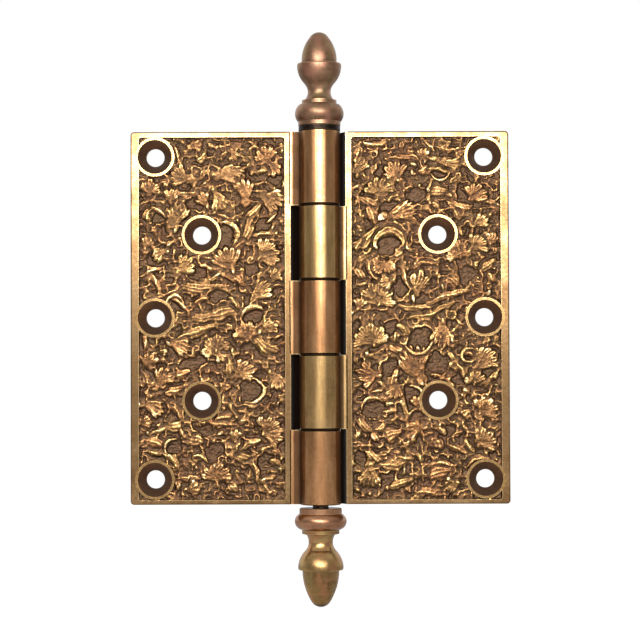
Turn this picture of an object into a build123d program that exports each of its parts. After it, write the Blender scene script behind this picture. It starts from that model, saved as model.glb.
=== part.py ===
from build123d import *
import math
import os

os.makedirs("parts", exist_ok=True)

# Pin axis along Z through the origin, leaves open flat in the XZ plane.
# The carved faces look towards -Y. The frame leaf is on -X, the door leaf on +X.

# Barrel
KNUCKLES = 5
KNUCKLE_R = 7.0
KNUCKLE_GAP = 0.4
KNUCKLE_EDGE = 0.35

# Leaves
LEAF_HEIGHT = 127.0
LEAF_REACH = 64.5
LEAF_THICK = 4.5
CLOSED_GAP = 2.0
CORNER_R = 1.2
EDGE_R = 0.5
FRAME_EDGE_GAP = 3.0
DOOR_EDGE_GAP = 1.9
WEB_SET_BACK = 0.6
WEB_OVERLAP = 0.6
WEB_BITE = 1.8
COPE_REACH = 0.1
COPE_SAG = 0.4

# Pin and its threaded studs
PIN_R = 3.95
PIN_CLEARANCE = 0.05
STUD_R = 2.7
STUD_LENGTH = 14.0
STUD_CHAMFER = 0.5
THREAD_CLEARANCE = 0.05

# Washer under the upper finial, and the open gap above the lower one
WASHER_EDGE = 0.1
WASHER_THICK = 1.5
LOWER_GAP = 1.1

# Finials: radii, and heights above the end of the barrel
COLLAR_STEP = 0.2
COLLAR_EDGE = 0.3
COLLAR_TOP = 3.0
UPPER_BEAD_R = 8.3
LOWER_BEAD_R = 8.8
BEAD_MID = 5.7
UPPER_RING_R = 5.9
LOWER_RING_R = 6.35
UPPER_RING_TOP = 10.4
LOWER_RING_TOP = 9.8
RING_THICK = 1.2
UPPER_NECK_R = 3.9
LOWER_NECK_R = 4.1
NECK_END_R = 4.9
UPPER_CUP_R = 7.55
LOWER_CUP_R = 7.7
CUP_FOOT_R = 5.1
UPPER_CUP_RIM = 22.9
LOWER_CUP_RIM = 21.9
CUP_DEPTH = 6.6
CUP_BELLY = 3.75
CUP_LIP = 0.45
UPPER_ACORN_R = 5.95
LOWER_ACORN_R = 6.25
ACORN_TAPER = 0.75
ACORN_MID = 5.6
DOME_R = 3.8
DOME_EDGE_R = 3.3
UPPER_HEIGHT = 33.8
LOWER_HEIGHT = 34.5

# Screw holes
HOLE_R = 3.1
SINK_R = 5.85
SINK_ANGLE = 82.0
BOSS_WALL = 0.8
OUTER_INSET = 8.3
INNER_INSET = 24.2
END_INSET = 8.5
INNER_HEIGHT = 28.3

# Sunk field with its plain raised border
FIELD_DEPTH = 1.4
FIELD_CORNER_R = 1.0
BORDER_OUTER = 2.8
BORDER_TOP = 1.8
BORDER_BOTTOM = 1.5
BORDER_INNER = 1.85

# Carving: heights above the ground, and how a lobe swells and rises along its length
CARVE_SINK = 0.15
SPRIG_TOP = 1.05
STEM_TOP = 0.9
FOOT_SPREAD = 1.35
STEM_STATIONS = ((0.16, 0.62, 0.8), (0.52, 1.0, 1.0), (0.82, 0.66, 0.7))
LOBE_DROOP = 0.3
LOBE_HALF = 0.28
LOBE_FILL = 0.9
LOBE_WIDEST = 0.7
LOBE_CREST = 0.66
NOTCH_REACH = 0.66
STAR_NOTCH_REACH = 0.46
HUB_RISE = 0.7
HEEL = 0.16
OPEN_FAN = 200.0

FACE_Y = CLOSED_GAP / 2
BACK_Y = FACE_Y + LEAF_THICK
GROUND_Y = FACE_Y + FIELD_DEPTH
CARVE_BASE_Y = GROUND_Y + CARVE_SINK
BARREL_TOP = LEAF_HEIGHT / 2
PITCH = LEAF_HEIGHT / KNUCKLES
BORE_R = PIN_R + PIN_CLEARANCE
FRAME_INNER_EDGE = KNUCKLE_R + FRAME_EDGE_GAP
DOOR_INNER_EDGE = KNUCKLE_R + DOOR_EDGE_GAP
BOSS_R = SINK_R + BOSS_WALL

# The leaf size that the carving below is drawn for: distance from the pin axis, and height
DRAWN_REACH = 64.5
DRAWN_HEIGHT = 127.0

# Sprigs on the frame leaf: base x, base z, direction, length, lobes, spread
FRAME_SPRIGS = [
    (-58.0, 42.4, 90, 5.2, 3, 90),
    (-44.9, 47.3, 165, 6.4, 5, 80),
    (-35.4, 48.4, 12, 9.2, 6, 60),
    (-25.4, 39.4, 90, 8.0, 5, 56),
    (-17.6, 53.8, 110, 5.2, 5, 130),
    (-17.0, 52.4, -35, 4.8, 3, 60),
    (-20.4, 42.0, -25, 8.4, 6, 66),
    (-35.8, 43.4, -62, 7.2, 5, 54),
    (-20.2, 20.4, 30, 7.0, 6, 130),
    (-30.1, 16.0, 110, 8.2, 6, 84),
    (-48.5, 15.7, 35, 6.6, 5, 74),
    (-52.3, 23.2, 200, 5.4, 4, 56),
    (-49.6, 30.8, 85, 8.2, 6, 64),
    (-51.3, 39.9, 75, 4.4, 3, 70),
    (-38.6, 38.2, 115, 5.0, 4, 66),
    (-44.7, 58.5, 15, 4.8, 4, 56),
    (-23.6, 5.8, 42, 8.4, 5, 52),
    (-24.9, -7.3, 100, 6.0, 5, 120),
    (-19.8, -5.0, 40, 5.6, 4, 66),
    (-51.2, -8.3, -22, 7.4, 5, 54),
    (-35.2, -11.4, 110, 5.6, 4, 160),
    (-35.2, -11.4, -60, 4.4, 3, 50),
    (-28.9, -20.3, 40, 7.2, 5, 72),
    (-58.3, -16.9, 90, 5.4, 4, 84),
    (-54.8, -22.9, 65, 6.2, 5, 78),
    (-33.6, -25.4, 65, 4.6, 4, 66),
    (-60.9, -28.7, -20, 7.8, 5, 46),
    (-18.9, -39.6, 30, 6.6, 6, 150),
    (-35.4, -55.2, 92, 5.8, 6, 150),
    (-16.2, -18.7, -60, 6.3, 4, 60),
    (-29.4, -41.9, 80, 3.8, 3, 60),
    (-61.2, -36.0, 15, 4.2, 4, 66),
    (-45.3, -58.8, 20, 4.8, 4, 66),
    (-56.4, -53.0, 62, 3.6, 3, 70),
    (-30.4, 57.4, -60, 4.4, 4, 60),
    (-59.6, 23.6, 80, 4.2, 4, 70),
    (-16.4, 12.6, 60, 4.4, 4, 80),
]

# Stems and single leaves on the frame leaf: from x, z to x, z, bow to the left of travel, width
FRAME_STEMS = [
    (-41.5, 53.2, -38.1, 57.5, 0.4, 2.8),
    (-19.5, 40.1, -25.9, 28.2, -0.8, 2.4),
    (-23.3, 34.2, -27.5, 23.2, 0.6, 2.6),
    (-25.4, 27.4, -30.9, 15.1, -1.2, 2.2),
    (-28.8, 16.4, -38.6, 12.1, -0.8, 1.8),
    (-23.3, 27.8, -14.8, 28.2, 0.6, 1.8),
    (-34.3, 15.1, -25.0, 10.4, 1.2, 2.2),
    (-47.9, 10.9, -36.0, 11.3, -1.2, 3.6),
    (-53.4, 7.9, -47.4, 10.9, -0.6, 1.4),
    (-59.7, 14.7, -53.4, 17.2, 0.4, 1.8),
    (-57.6, 15.1, -54.2, 8.7, 0.5, 1.4),
    (-52.5, 23.2, -48.7, 27.4, 0.3, 1.6),
    (-58.0, 32.5, -58.4, 37.6, 1.0, 1.8),
    (-58.4, 37.6, -52.1, 33.3, 1.6, 1.5),
    (-36.6, 35.2, -33.8, 36.8, 0.4, 1.8),
    (-35.2, 35.4, -28.8, 27.4, 2.4, 1.5),
    (-44.5, 43.5, -36.9, 36.3, 1.0, 1.6),
    (-33.5, 55.3, -28.8, 57.9, 0.3, 1.8),
    (-49.6, 59.1, -49.1, 51.1, 1.2, 1.4),
    (-44.5, -0.1, -27.5, 4.1, -1.4, 3.4),
    (-31.4, 7.1, -27.5, 2.4, 0.5, 1.8),
    (-52.1, 7.1, -44.5, -0.9, 2.2, 1.5),
    (-21.6, 49.4, -17.0, 50.6, 0.5, 1.4),
    (-50.5, -8.7, -32.7, -2.1, 0.8, 2.2),
    (-32.7, -2.1, -24.5, -7.1, 0.8, 1.8),
    (-22.8, -6.7, -13.7, -11.2, -0.8, 3.2),
    (-31.1, -8.7, -29.0, -14.9, 0.6, 1.5),
    (-31.9, -13.7, -30.2, -23.6, 0.5, 2.4),
    (-19.5, -14.1, -19.5, -27.3, 2.8, 1.6),
    (-19.5, -27.3, -28.6, -29.4, 1.6, 1.8),
    (-53.8, -22.3, -57.9, -24.8, 0.4, 1.4),
    (-49.6, -20.7, -44.3, -17.8, 0.3, 2.2),
    (-52.9, -26.1, -46.7, -23.6, 0.4, 2.2),
    (-50.9, -29.8, -47.2, -35.5, 0.8, 1.6),
    (-47.2, -35.5, -52.5, -38.0, 0.4, 2.4),
    (-52.5, -37.6, -58.3, -40.1, -0.4, 1.4),
    (-59.9, -41.7, -52.1, -43.8, 0.3, 2.6),
    (-58.3, -45.9, -53.8, -46.7, 0.2, 1.4),
    (-48.0, -37.2, -44.7, -41.7, -0.6, 1.4),
    (-45.1, -41.5, -39.3, -42.1, 0.4, 2.9),
    (-31.1, -28.9, -26.9, -35.5, -0.5, 1.8),
    (-28.2, -31.0, -24.1, -33.5, 0.3, 1.6),
    (-36.0, -35.0, -29.0, -32.9, 0.3, 1.6),
    (-36.4, -37.0, -28.6, -36.4, 0.4, 1.8),
    (-28.6, -36.4, -24.1, -33.9, 0.2, 1.5),
    (-20.3, -41.3, -28.6, -46.7, -0.8, 1.8),
    (-28.6, -46.7, -23.6, -47.9, -0.4, 2.6),
    (-24.1, -48.3, -21.6, -56.2, 0.8, 1.8),
    (-47.6, -54.5, -39.7, -54.1, -0.4, 2.0),
    (-31.5, -56.6, -27.8, -59.5, 0.3, 2.0),
    (-53.8, -45.9, -48.0, -52.0, 1.0, 1.5),
    (-17.5, -48.3, -13.3, -50.4, 0.2, 2.0),
    (-17.9, -42.6, -13.3, -46.7, 0.3, 2.4),
    (-20.8, -56.2, -15.0, -54.1, 0.4, 1.6),
    (-44.2, -47.6, -37.6, -49.4, 1.0, 1.5),
    (-42.6, 4.6, -37.4, 6.8, 0.5, 1.6),
    (-18.4, 32.6, -14.6, 37.2, -1.0, 1.4),
    (-59.6, -6.2, -60.4, -12.4, 0.8, 1.5),
]

# Sprigs on the door leaf
DOOR_SPRIGS = [
    (12.6, 49.2, 65, 6.0, 5, 64),
    (27.0, 47.5, 115, 6.0, 5, 108),
    (35.5, 53.9, 95, 4.4, 4, 76),
    (39.3, 53.6, -8, 9.0, 5, 30),
    (20.2, 42.0, 95, 5.8, 6, 140),
    (22.2, 33.5, 25, 11.4, 6, 38),
    (52.0, 40.3, 60, 5.8, 5, 116),
    (52.7, 31.4, 30, 5.2, 4, 66),
    (21.9, 18.5, 250, 4.6, 4, 180),
    (19.4, 4.6, 84, 7.0, 6, 170),
    (32.5, 6.7, 78, 9.4, 3, 36),
    (48.4, 20.8, 110, 5.8, 5, 156),
    (52.2, 23.0, 55, 5.8, 5, 96),
    (17.6, -9.0, 96, 6.8, 6, 160),
    (41.7, -1.7, 270, 8.2, 6, 66),
    (34.7, -21.5, 118, 11.4, 7, 66),
    (53.4, -17.6, 52, 8.0, 6, 80),
    (52.8, -22.5, 90, 4.2, 4, 126),
    (19.6, -19.5, 185, 7.0, 4, 76),
    (26.1, -22.4, 259, 6.0, 4, 70),
    (35.1, -37.2, 195, 7.0, 5, 60),
    (16.9, -50.8, 268, 6.8, 7, 80),
    (54.3, -43.6, 42, 6.0, 5, 116),
    (55.0, -33.1, 50, 6.0, 5, 126),
    (44.8, 59.4, 190, 4.6, 4, 60),
    (58.4, 24.8, 80, 4.4, 4, 70),
    (13.2, 3.0, 80, 4.0, 4, 80),
    (33.4, -30.8, 90, 3.8, 4, 90),
    (46.6, -56.6, 200, 4.6, 4, 80),
    (24.8, 12.6, 200, 4.4, 4, 80),
]

# Stems and single leaves on the door leaf
DOOR_STEMS = [
    (13.0, 58.3, 13.5, 52.8, -0.5, 1.5),
    (27.0, 55.3, 35.9, 54.1, 0.6, 2.4),
    (36.8, 52.4, 33.8, 49.4, 0.3, 2.0),
    (30.8, 51.5, 33.8, 49.0, -1.2, 1.4),
    (14.5, 59.6, 23.6, 60.0, -0.5, 1.6),
    (36.8, 50.7, 44.4, 48.6, 1.6, 1.5),
    (37.8, 42.4, 43.7, 43.1, 0.6, 3.6),
    (43.5, 42.2, 46.1, 38.4, 0.6, 1.4),
    (13.0, 40.5, 19.8, 38.0, 0.8, 2.8),
    (16.4, 37.6, 19.4, 31.6, 0.6, 2.4),
    (24.5, 44.3, 19.4, 40.1, 0.3, 1.4),
    (23.6, 39.2, 27.4, 41.8, 1.2, 1.5),
    (38.0, 38.4, 41.4, 37.6, 0.6, 2.4),
    (43.5, 39.2, 52.9, 38.4, -1.4, 2.8),
    (45.2, 36.4, 48.4, 33.2, 0.3, 2.0),
    (14.7, 22.7, 20.2, 31.6, 1.2, 2.8),
    (19.4, 30.8, 27.4, 31.6, 1.2, 2.2),
    (27.0, 31.6, 29.1, 23.2, 1.2, 1.6),
    (28.7, 23.2, 23.6, 19.8, 1.2, 2.0),
    (12.2, 21.9, 14.8, 27.6, 0.4, 1.8),
    (15.6, 19.8, 22.8, 10.0, -1.2, 1.6),
    (12.2, 16.8, 15.6, 12.1, 0.3, 2.4),
    (12.6, 11.7, 18.1, 11.3, 0.3, 1.6),
    (28.3, 16.8, 31.7, 9.2, -0.6, 1.8),
    (43.1, 13.0, 47.6, 10.9, 0.5, 3.4),
    (55.0, 15.5, 59.8, 20.2, 0.3, 2.6),
    (56.7, 15.1, 60.0, 12.1, 0.3, 1.6),
    (26.2, 4.1, 41.4, 5.8, -1.8, 2.4),
    (36.3, 4.5, 52.4, 9.2, 0.8, 2.0),
    (29.6, -0.6, 46.5, 5.4, -1.0, 1.8),
    (29.1, 27.4, 32.2, 22.0, -0.6, 1.6),
    (32.9, 18.1, 39.7, 17.6, 0.5, 1.4),
    (26.4, -2.1, 30.1, -6.7, 0.5, 2.8),
    (23.5, -9.6, 32.2, -11.6, -0.8, 2.4),
    (43.7, -12.0, 48.3, -19.5, 0.6, 2.0),
    (45.0, -14.5, 50.3, -22.3, 0.8, 1.6),
    (47.9, -12.9, 53.2, -14.9, 1.4, 1.4),
    (19.0, -20.7, 21.9, -24.8, 0.3, 1.4),
    (26.8, -17.0, 21.5, -27.7, 0.4, 1.8),
    (21.9, -24.4, 16.5, -26.1, 0.3, 1.4),
    (28.5, -22.3, 30.1, -33.9, -1.4, 1.5),
    (21.9, -29.8, 26.4, -29.4, 0.3, 1.6),
    (22.7, -32.7, 26.4, -30.6, 0.2, 1.6),
    (13.6, -30.6, 21.9, -27.3, 2.0, 1.4),
    (12.8, -34.7, 18.6, -38.8, -0.8, 2.8),
    (18.6, -38.8, 21.9, -35.5, -0.6, 2.0),
    (22.3, -42.1, 27.6, -38.4, 0.6, 3.6),
    (28.5, -43.0, 32.6, -40.9, 0.2, 2.2),
    (12.2, -42.1, 13.4, -38.8, 0.2, 1.5),
    (16.1, -45.9, 21.0, -50.0, -0.4, 2.8),
    (19.0, -50.8, 33.0, -46.3, -1.4, 2.2),
    (25.6, -47.9, 32.2, -48.3, 0.3, 1.5),
    (33.0, -45.9, 35.1, -49.6, 0.3, 1.6),
    (23.5, -58.2, 31.8, -54.9, 0.4, 2.4),
    (37.1, -54.9, 45.4, -51.6, 0.6, 4.0),
    (38.0, -50.0, 47.0, -50.8, 0.8, 1.4),
    (42.9, -44.2, 51.2, -46.7, 0.5, 1.8),
    (48.7, -41.7, 52.6, -47.0, 0.3, 1.5),
    (48.7, -34.3, 51.0, -31.4, 0.3, 2.6),
    (52.4, -32.2, 55.7, -36.0, 0.3, 2.4),
    (48.0, -25.6, 51.2, -24.0, 0.2, 1.6),
    (38.8, -42.1, 42.1, -45.0, 0.3, 2.2),
    (32.2, -59.6, 40.4, -58.9, 0.2, 1.8),
    (49.8, -51.2, 58.4, -48.0, 1.6, 1.4),
    (39.2, -38.0, 42.9, -40.5, 0.3, 1.6),
]

# Plan of the leaves' front: local x is X, local y is Z, outwards is -Y
FRONT = Plane(origin=(0, FACE_Y, 0), x_dir=(1, 0, 0), z_dir=(0, -1, 0))


def to_leaf(x, z):
    """A drawn carving point, moved with the leaf's reach and height."""
    side = math.copysign(1.0, x)
    return x + side * (LEAF_REACH - DRAWN_REACH) * abs(x) / DRAWN_REACH, z * LEAF_HEIGHT / DRAWN_HEIGHT


def faceted(faces):
    """A closed solid from flat faces that are given by their corners."""
    return Solid(Shell([Face(Wire.make_polygon(list(corners), close=True)) for corners in faces]))


def stem(x0, z0, x1, z1, bow, width):
    """A stem or single leaf: pointed at both ends, with a sharp ridge along a bowed centre line."""
    length = math.hypot(x1 - x0, z1 - z0)
    ux = (x1 - x0) / length
    uz = (z1 - z0) / length
    start = (x0, CARVE_BASE_Y, z0)
    end = (x1, CARVE_BASE_Y, z1)
    left = []
    crest = []
    right = []
    for t, share, rise in STEM_STATIONS:
        side = bow * math.sin(math.pi * t)
        cx = x0 + ux * length * t - uz * side
        cz = z0 + uz * length * t + ux * side
        half = FOOT_SPREAD * width / 2 * share
        left.append((cx - uz * half, CARVE_BASE_Y, cz + ux * half))
        right.append((cx + uz * half, CARVE_BASE_Y, cz - ux * half))
        crest.append((cx, GROUND_Y - STEM_TOP * rise, cz))
    faces = [[start] + left + [end] + right[::-1]]
    for edge in (left, right):
        faces.append((start, edge[0], crest[0]))
        faces.append((edge[-1], end, crest[-1]))
        for i in range(len(edge) - 1):
            faces.append((edge[i], edge[i + 1], crest[i + 1]))
            faces.append((edge[i], crest[i + 1], crest[i]))
    return faceted(faces)


def sprig(x, z, direction, length, lobes, spread):
    """A fan of pointed lobes from one hub, ridged along each lobe and sunk between them."""
    step = math.radians(spread / (lobes - 1))
    middle = math.radians(direction)
    notch = (STAR_NOTCH_REACH if spread > OPEN_FAN else NOTCH_REACH) * length
    heel = notch if spread > OPEN_FAN else HEEL * length

    def at(angle, along, side=0.0, y=CARVE_BASE_Y):
        px = x + along * math.cos(angle) - side * math.sin(angle)
        pz = z + along * math.sin(angle) + side * math.cos(angle)
        return px, y, pz

    hub = (x, GROUND_Y - HUB_RISE * SPRIG_TOP, z)
    back = at(middle + math.pi, heel)
    outline = [back]
    faces = []
    before = back
    for i in range(lobes):
        share = i / (lobes - 1) - 0.5
        angle = middle + share * math.radians(spread)
        reach = length * (1.0 - LOBE_DROOP * abs(share))
        widest = LOBE_WIDEST * reach
        half = min(LOBE_HALF * reach, LOBE_FILL * widest * math.tan(step / 2))
        near = at(angle, widest, -half)
        tip = at(angle, reach)
        far = at(angle, widest, half)
        crest = at(angle, LOBE_CREST * reach, 0.0, GROUND_Y - SPRIG_TOP)
        after = at(angle + step / 2, notch) if i < lobes - 1 else back
        edge = [before, near, tip, far, after]
        faces += [(edge[k], edge[k + 1], crest) for k in range(len(edge) - 1)]
        faces.append((hub, before, crest))
        faces.append((after, hub, crest))
        outline += edge[1:-1] if after is back else edge[1:]
        before = after
    faces.append(outline)
    return faceted(faces)


def carving(sprigs, stems):
    """Every carved sprig and stem of one leaf."""
    made = []
    for x, z, *shape in sprigs:
        made.append(sprig(*to_leaf(x, z), *shape))
    for x0, z0, x1, z1, bow, width in stems:
        made.append(stem(*to_leaf(x0, z0), *to_leaf(x1, z1), bow, width))
    return made


def leaf_holes(side):
    """Positions of one leaf's five screw holes in the plan of the front."""
    outer = side * (LEAF_REACH - OUTER_INSET)
    inner = side * (LEAF_REACH - INNER_INSET)
    end = LEAF_HEIGHT / 2 - END_INSET
    return [(outer, end), (outer, 0), (outer, -end), (inner, INNER_HEIGHT), (inner, -INNER_HEIGHT)]


def knuckle_span(index):
    """Lower and upper end of one knuckle, counted from the top of the barrel."""
    upper = BARREL_TOP - index * PITCH
    lower = upper - PITCH
    upper_end = upper if index == 0 else upper - KNUCKLE_GAP / 2
    lower_end = lower if index == KNUCKLES - 1 else lower + KNUCKLE_GAP / 2
    return lower_end, upper_end


def knuckle_points(lower, upper):
    """Half section of one knuckle, with its ends eased."""
    return [
        (0, lower),
        (KNUCKLE_R - KNUCKLE_EDGE, lower),
        (KNUCKLE_R, lower + KNUCKLE_EDGE),
        (KNUCKLE_R, upper - KNUCKLE_EDGE),
        (KNUCKLE_R - KNUCKLE_EDGE, upper),
        (0, upper),
    ]


def web_points(side, inner_edge):
    """Outline, seen along the pin, of the web that joins a leaf to its knuckle."""
    reach = math.hypot(inner_edge, BACK_Y)
    turn = math.atan2(BACK_Y, inner_edge) + math.acos(KNUCKLE_R / reach)
    tangent = (KNUCKLE_R * math.cos(turn), KNUCKLE_R * math.sin(turn))
    return [
        (side * (inner_edge + WEB_OVERLAP), FACE_Y + WEB_SET_BACK),
        (side * (inner_edge + WEB_OVERLAP), BACK_Y),
        (side * inner_edge, BACK_Y),
        (side * tangent[0], tangent[1]),
        (side * (KNUCKLE_R - WEB_BITE), FACE_Y + WEB_SET_BACK),
    ]


def cope_edge(side, inner_edge):
    """Draws, seen along the pin, a leaf's hollowed edge beside the other leaf's knuckle."""
    front = (inner_edge, FACE_Y)
    back = (KNUCKLE_R - COPE_REACH, BACK_Y)
    run = math.hypot(front[0] - back[0], back[1] - front[1])
    out_x = (back[1] - front[1]) / run
    out_y = (front[0] - back[0]) / run
    middle = ((front[0] + back[0]) / 2 + COPE_SAG * out_x, (front[1] + back[1]) / 2 + COPE_SAG * out_y)
    root = inner_edge + WEB_OVERLAP
    ThreePointArc(*[(side * x, y) for x, y in (front, middle, back)])
    Polyline(*[(side * x, y) for x, y in (back, (root, BACK_Y), (root, FACE_Y), front)])


def cope_span(index):
    """Lower and upper end of the hollowed edge beside one knuckle of the other leaf."""
    upper = BARREL_TOP - index * PITCH
    lower = upper - PITCH
    upper_end = upper if index == 0 else upper + KNUCKLE_GAP / 2
    lower_end = lower if index == KNUCKLES - 1 else lower - KNUCKLE_GAP / 2
    return lower_end, upper_end


def finial_lines(seat_z, bead_r, ring_r, ring_top_z, neck_r, cup_r, cup_rim_z, acorn_r, height):
    """Half outline of an acorn finial as (kind, points), in radius and distance from mid height."""
    collar_r = KNUCKLE_R + COLLAR_STEP
    foot_r = collar_r - COLLAR_EDGE
    end = BARREL_TOP
    tip_z = end + height
    centre_z = tip_z - DOME_R
    edge_turn = math.acos(DOME_EDGE_R / DOME_R)
    half_turn = (edge_turn + math.pi / 2) / 2
    dome_edge = (DOME_EDGE_R, centre_z + DOME_R * math.sin(edge_turn))
    dome_half = (DOME_R * math.cos(half_turn), centre_z + DOME_R * math.sin(half_turn))
    collar_top = (collar_r, end + COLLAR_TOP)
    bead_top = (foot_r, end + ring_top_z - RING_THICK - COLLAR_EDGE)
    ring_foot = (ring_r, end + ring_top_z - RING_THICK)
    ring_top = (ring_r, end + ring_top_z)
    neck_start = (NECK_END_R, end + ring_top_z + COLLAR_EDGE)
    cup_start = (CUP_FOOT_R, end + cup_rim_z - CUP_DEPTH)
    neck_top = (NECK_END_R, cup_start[1] - COLLAR_EDGE)
    neck_waist = (neck_r, (neck_start[1] + neck_top[1]) / 2)
    cup_belly = ((CUP_FOOT_R + 3 * cup_r) / 4, end + cup_rim_z - CUP_BELLY)
    cup_widest = (cup_r, end + cup_rim_z - CUP_LIP)
    cup_rim = (cup_r - COLLAR_EDGE / 2, end + cup_rim_z)
    acorn_foot = (acorn_r, end + cup_rim_z + COLLAR_EDGE / 2)
    acorn_middle = (acorn_r - ACORN_TAPER, end + cup_rim_z + ACORN_MID)
    return [
        ("line", [(0, seat_z), (foot_r, seat_z)]),
        ("line", [(foot_r, seat_z), (collar_r, seat_z + COLLAR_EDGE)]),
        ("line", [(collar_r, seat_z + COLLAR_EDGE), collar_top]),
        ("arc", [collar_top, (bead_r, end + BEAD_MID), bead_top]),
        ("line", [bead_top, ring_foot]),
        ("line", [ring_foot, ring_top]),
        ("line", [ring_top, neck_start]),
        ("arc", [neck_start, neck_waist, neck_top]),
        ("line", [neck_top, cup_start]),
        ("arc", [cup_start, cup_belly, cup_widest]),
        ("line", [cup_widest, cup_rim]),
        ("line", [cup_rim, acorn_foot]),
        ("arc", [acorn_foot, acorn_middle, dome_edge]),
        ("arc", [dome_edge, dome_half, (0, tip_z)]),
        ("line", [(0, tip_z), (0, seat_z)]),
    ]


frame_carving = carving(FRAME_SPRIGS, FRAME_STEMS)
door_carving = carving(DOOR_SPRIGS, DOOR_STEMS)

field_height = LEAF_HEIGHT - BORDER_TOP - BORDER_BOTTOM
field_z = (BORDER_BOTTOM - BORDER_TOP) / 2
frame_plate_width = LEAF_REACH - FRAME_INNER_EDGE
frame_plate_x = -(LEAF_REACH + FRAME_INNER_EDGE) / 2
frame_field_width = frame_plate_width - BORDER_OUTER - BORDER_INNER
frame_field_x = frame_plate_x + (BORDER_OUTER - BORDER_INNER) / 2
door_plate_width = LEAF_REACH - DOOR_INNER_EDGE
door_plate_x = (LEAF_REACH + DOOR_INNER_EDGE) / 2
door_field_width = door_plate_width - BORDER_OUTER - BORDER_INNER
door_field_x = door_plate_x - (BORDER_OUTER - BORDER_INNER) / 2

with BuildPart() as frame_leaf:
    with BuildSketch(FRONT):
        with Locations((frame_plate_x, 0)):
            Rectangle(frame_plate_width, LEAF_HEIGHT)
    extrude(amount=-LEAF_THICK)
    fillet(frame_leaf.edges().filter_by(Axis.Y).group_by(Axis.X)[0], CORNER_R)
    fillet(frame_leaf.faces().sort_by(Axis.Y)[0].outer_wire().edges(), EDGE_R)
    with BuildSketch(FRONT):
        with Locations((frame_field_x, field_z)):
            RectangleRounded(frame_field_width, field_height, FIELD_CORNER_R)
    extrude(amount=-FIELD_DEPTH, mode=Mode.SUBTRACT)
    with BuildSketch(FRONT.offset(-FIELD_DEPTH - CARVE_SINK)):
        with Locations(*leaf_holes(-1)):
            Circle(BOSS_R)
    extrude(amount=FIELD_DEPTH + CARVE_SINK)
    add(frame_carving)
    for index in range(0, KNUCKLES, 2):
        lower, upper = knuckle_span(index)
        with BuildSketch(Plane.XZ):
            with BuildLine():
                Polyline(*knuckle_points(lower, upper), close=True)
            make_face()
        revolve(axis=Axis.Z)
        with BuildSketch(Plane.XY.offset(lower)):
            with BuildLine():
                Polyline(*web_points(-1, FRAME_INNER_EDGE), close=True)
            make_face()
        extrude(amount=upper - lower)
    for index in range(1, KNUCKLES, 2):
        lower, upper = cope_span(index)
        with BuildSketch(Plane.XY.offset(lower)):
            with BuildLine():
                cope_edge(-1, FRAME_INNER_EDGE)
            make_face()
        extrude(amount=upper - lower)
    with Locations(FRONT):
        with Locations(*[(x, z, 0) for x, z in leaf_holes(-1)]):
            CounterSinkHole(HOLE_R, SINK_R, 2 * LEAF_THICK, SINK_ANGLE)
    with BuildSketch(Plane.XY.offset(-BARREL_TOP)):
        Circle(BORE_R)
    extrude(amount=LEAF_HEIGHT, mode=Mode.SUBTRACT)
frame_leaf.part.label = "frame_leaf"
export_step(frame_leaf.part, "parts/frame_leaf.step")

with BuildPart() as door_leaf:
    with BuildSketch(FRONT):
        with Locations((door_plate_x, 0)):
            Rectangle(door_plate_width, LEAF_HEIGHT)
    extrude(amount=-LEAF_THICK)
    fillet(door_leaf.edges().filter_by(Axis.Y).group_by(Axis.X)[-1], CORNER_R)
    fillet(door_leaf.faces().sort_by(Axis.Y)[0].outer_wire().edges(), EDGE_R)
    with BuildSketch(FRONT):
        with Locations((door_field_x, field_z)):
            RectangleRounded(door_field_width, field_height, FIELD_CORNER_R)
    extrude(amount=-FIELD_DEPTH, mode=Mode.SUBTRACT)
    with BuildSketch(FRONT.offset(-FIELD_DEPTH - CARVE_SINK)):
        with Locations(*leaf_holes(1)):
            Circle(BOSS_R)
    extrude(amount=FIELD_DEPTH + CARVE_SINK)
    add(door_carving)
    for index in range(1, KNUCKLES, 2):
        lower, upper = knuckle_span(index)
        with BuildSketch(Plane.XZ):
            with BuildLine():
                Polyline(*knuckle_points(lower, upper), close=True)
            make_face()
        revolve(axis=Axis.Z)
        with BuildSketch(Plane.XY.offset(lower)):
            with BuildLine():
                Polyline(*web_points(1, DOOR_INNER_EDGE), close=True)
            make_face()
        extrude(amount=upper - lower)
    for index in range(0, KNUCKLES, 2):
        lower, upper = cope_span(index)
        with BuildSketch(Plane.XY.offset(lower)):
            with BuildLine():
                cope_edge(1, DOOR_INNER_EDGE)
            make_face()
        extrude(amount=upper - lower)
    with Locations(FRONT):
        with Locations(*[(x, z, 0) for x, z in leaf_holes(1)]):
            CounterSinkHole(HOLE_R, SINK_R, 2 * LEAF_THICK, SINK_ANGLE)
    with BuildSketch(Plane.XY.offset(-BARREL_TOP)):
        Circle(BORE_R)
    extrude(amount=LEAF_HEIGHT, mode=Mode.SUBTRACT)
door_leaf.part.label = "door_leaf"
export_step(door_leaf.part, "parts/door_leaf.step")

upper_seat = BARREL_TOP + WASHER_THICK
lower_seat = BARREL_TOP + LOWER_GAP
tapped_r = STUD_R + THREAD_CLEARANCE

with BuildPart() as hinge_pin:
    with BuildSketch(Plane.XY.offset(-BARREL_TOP)):
        Circle(PIN_R)
    extrude(amount=LEAF_HEIGHT)
    with BuildSketch(Plane.XY.offset(-lower_seat - STUD_LENGTH)):
        Circle(STUD_R)
    extrude(amount=lower_seat + upper_seat + 2 * STUD_LENGTH)
    stud_ends = hinge_pin.edges().filter_by(GeomType.CIRCLE).group_by(Axis.Z)
    chamfer(stud_ends[0] + stud_ends[-1], STUD_CHAMFER)
hinge_pin.part.label = "hinge_pin"
export_step(hinge_pin.part, "parts/hinge_pin.step")

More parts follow.
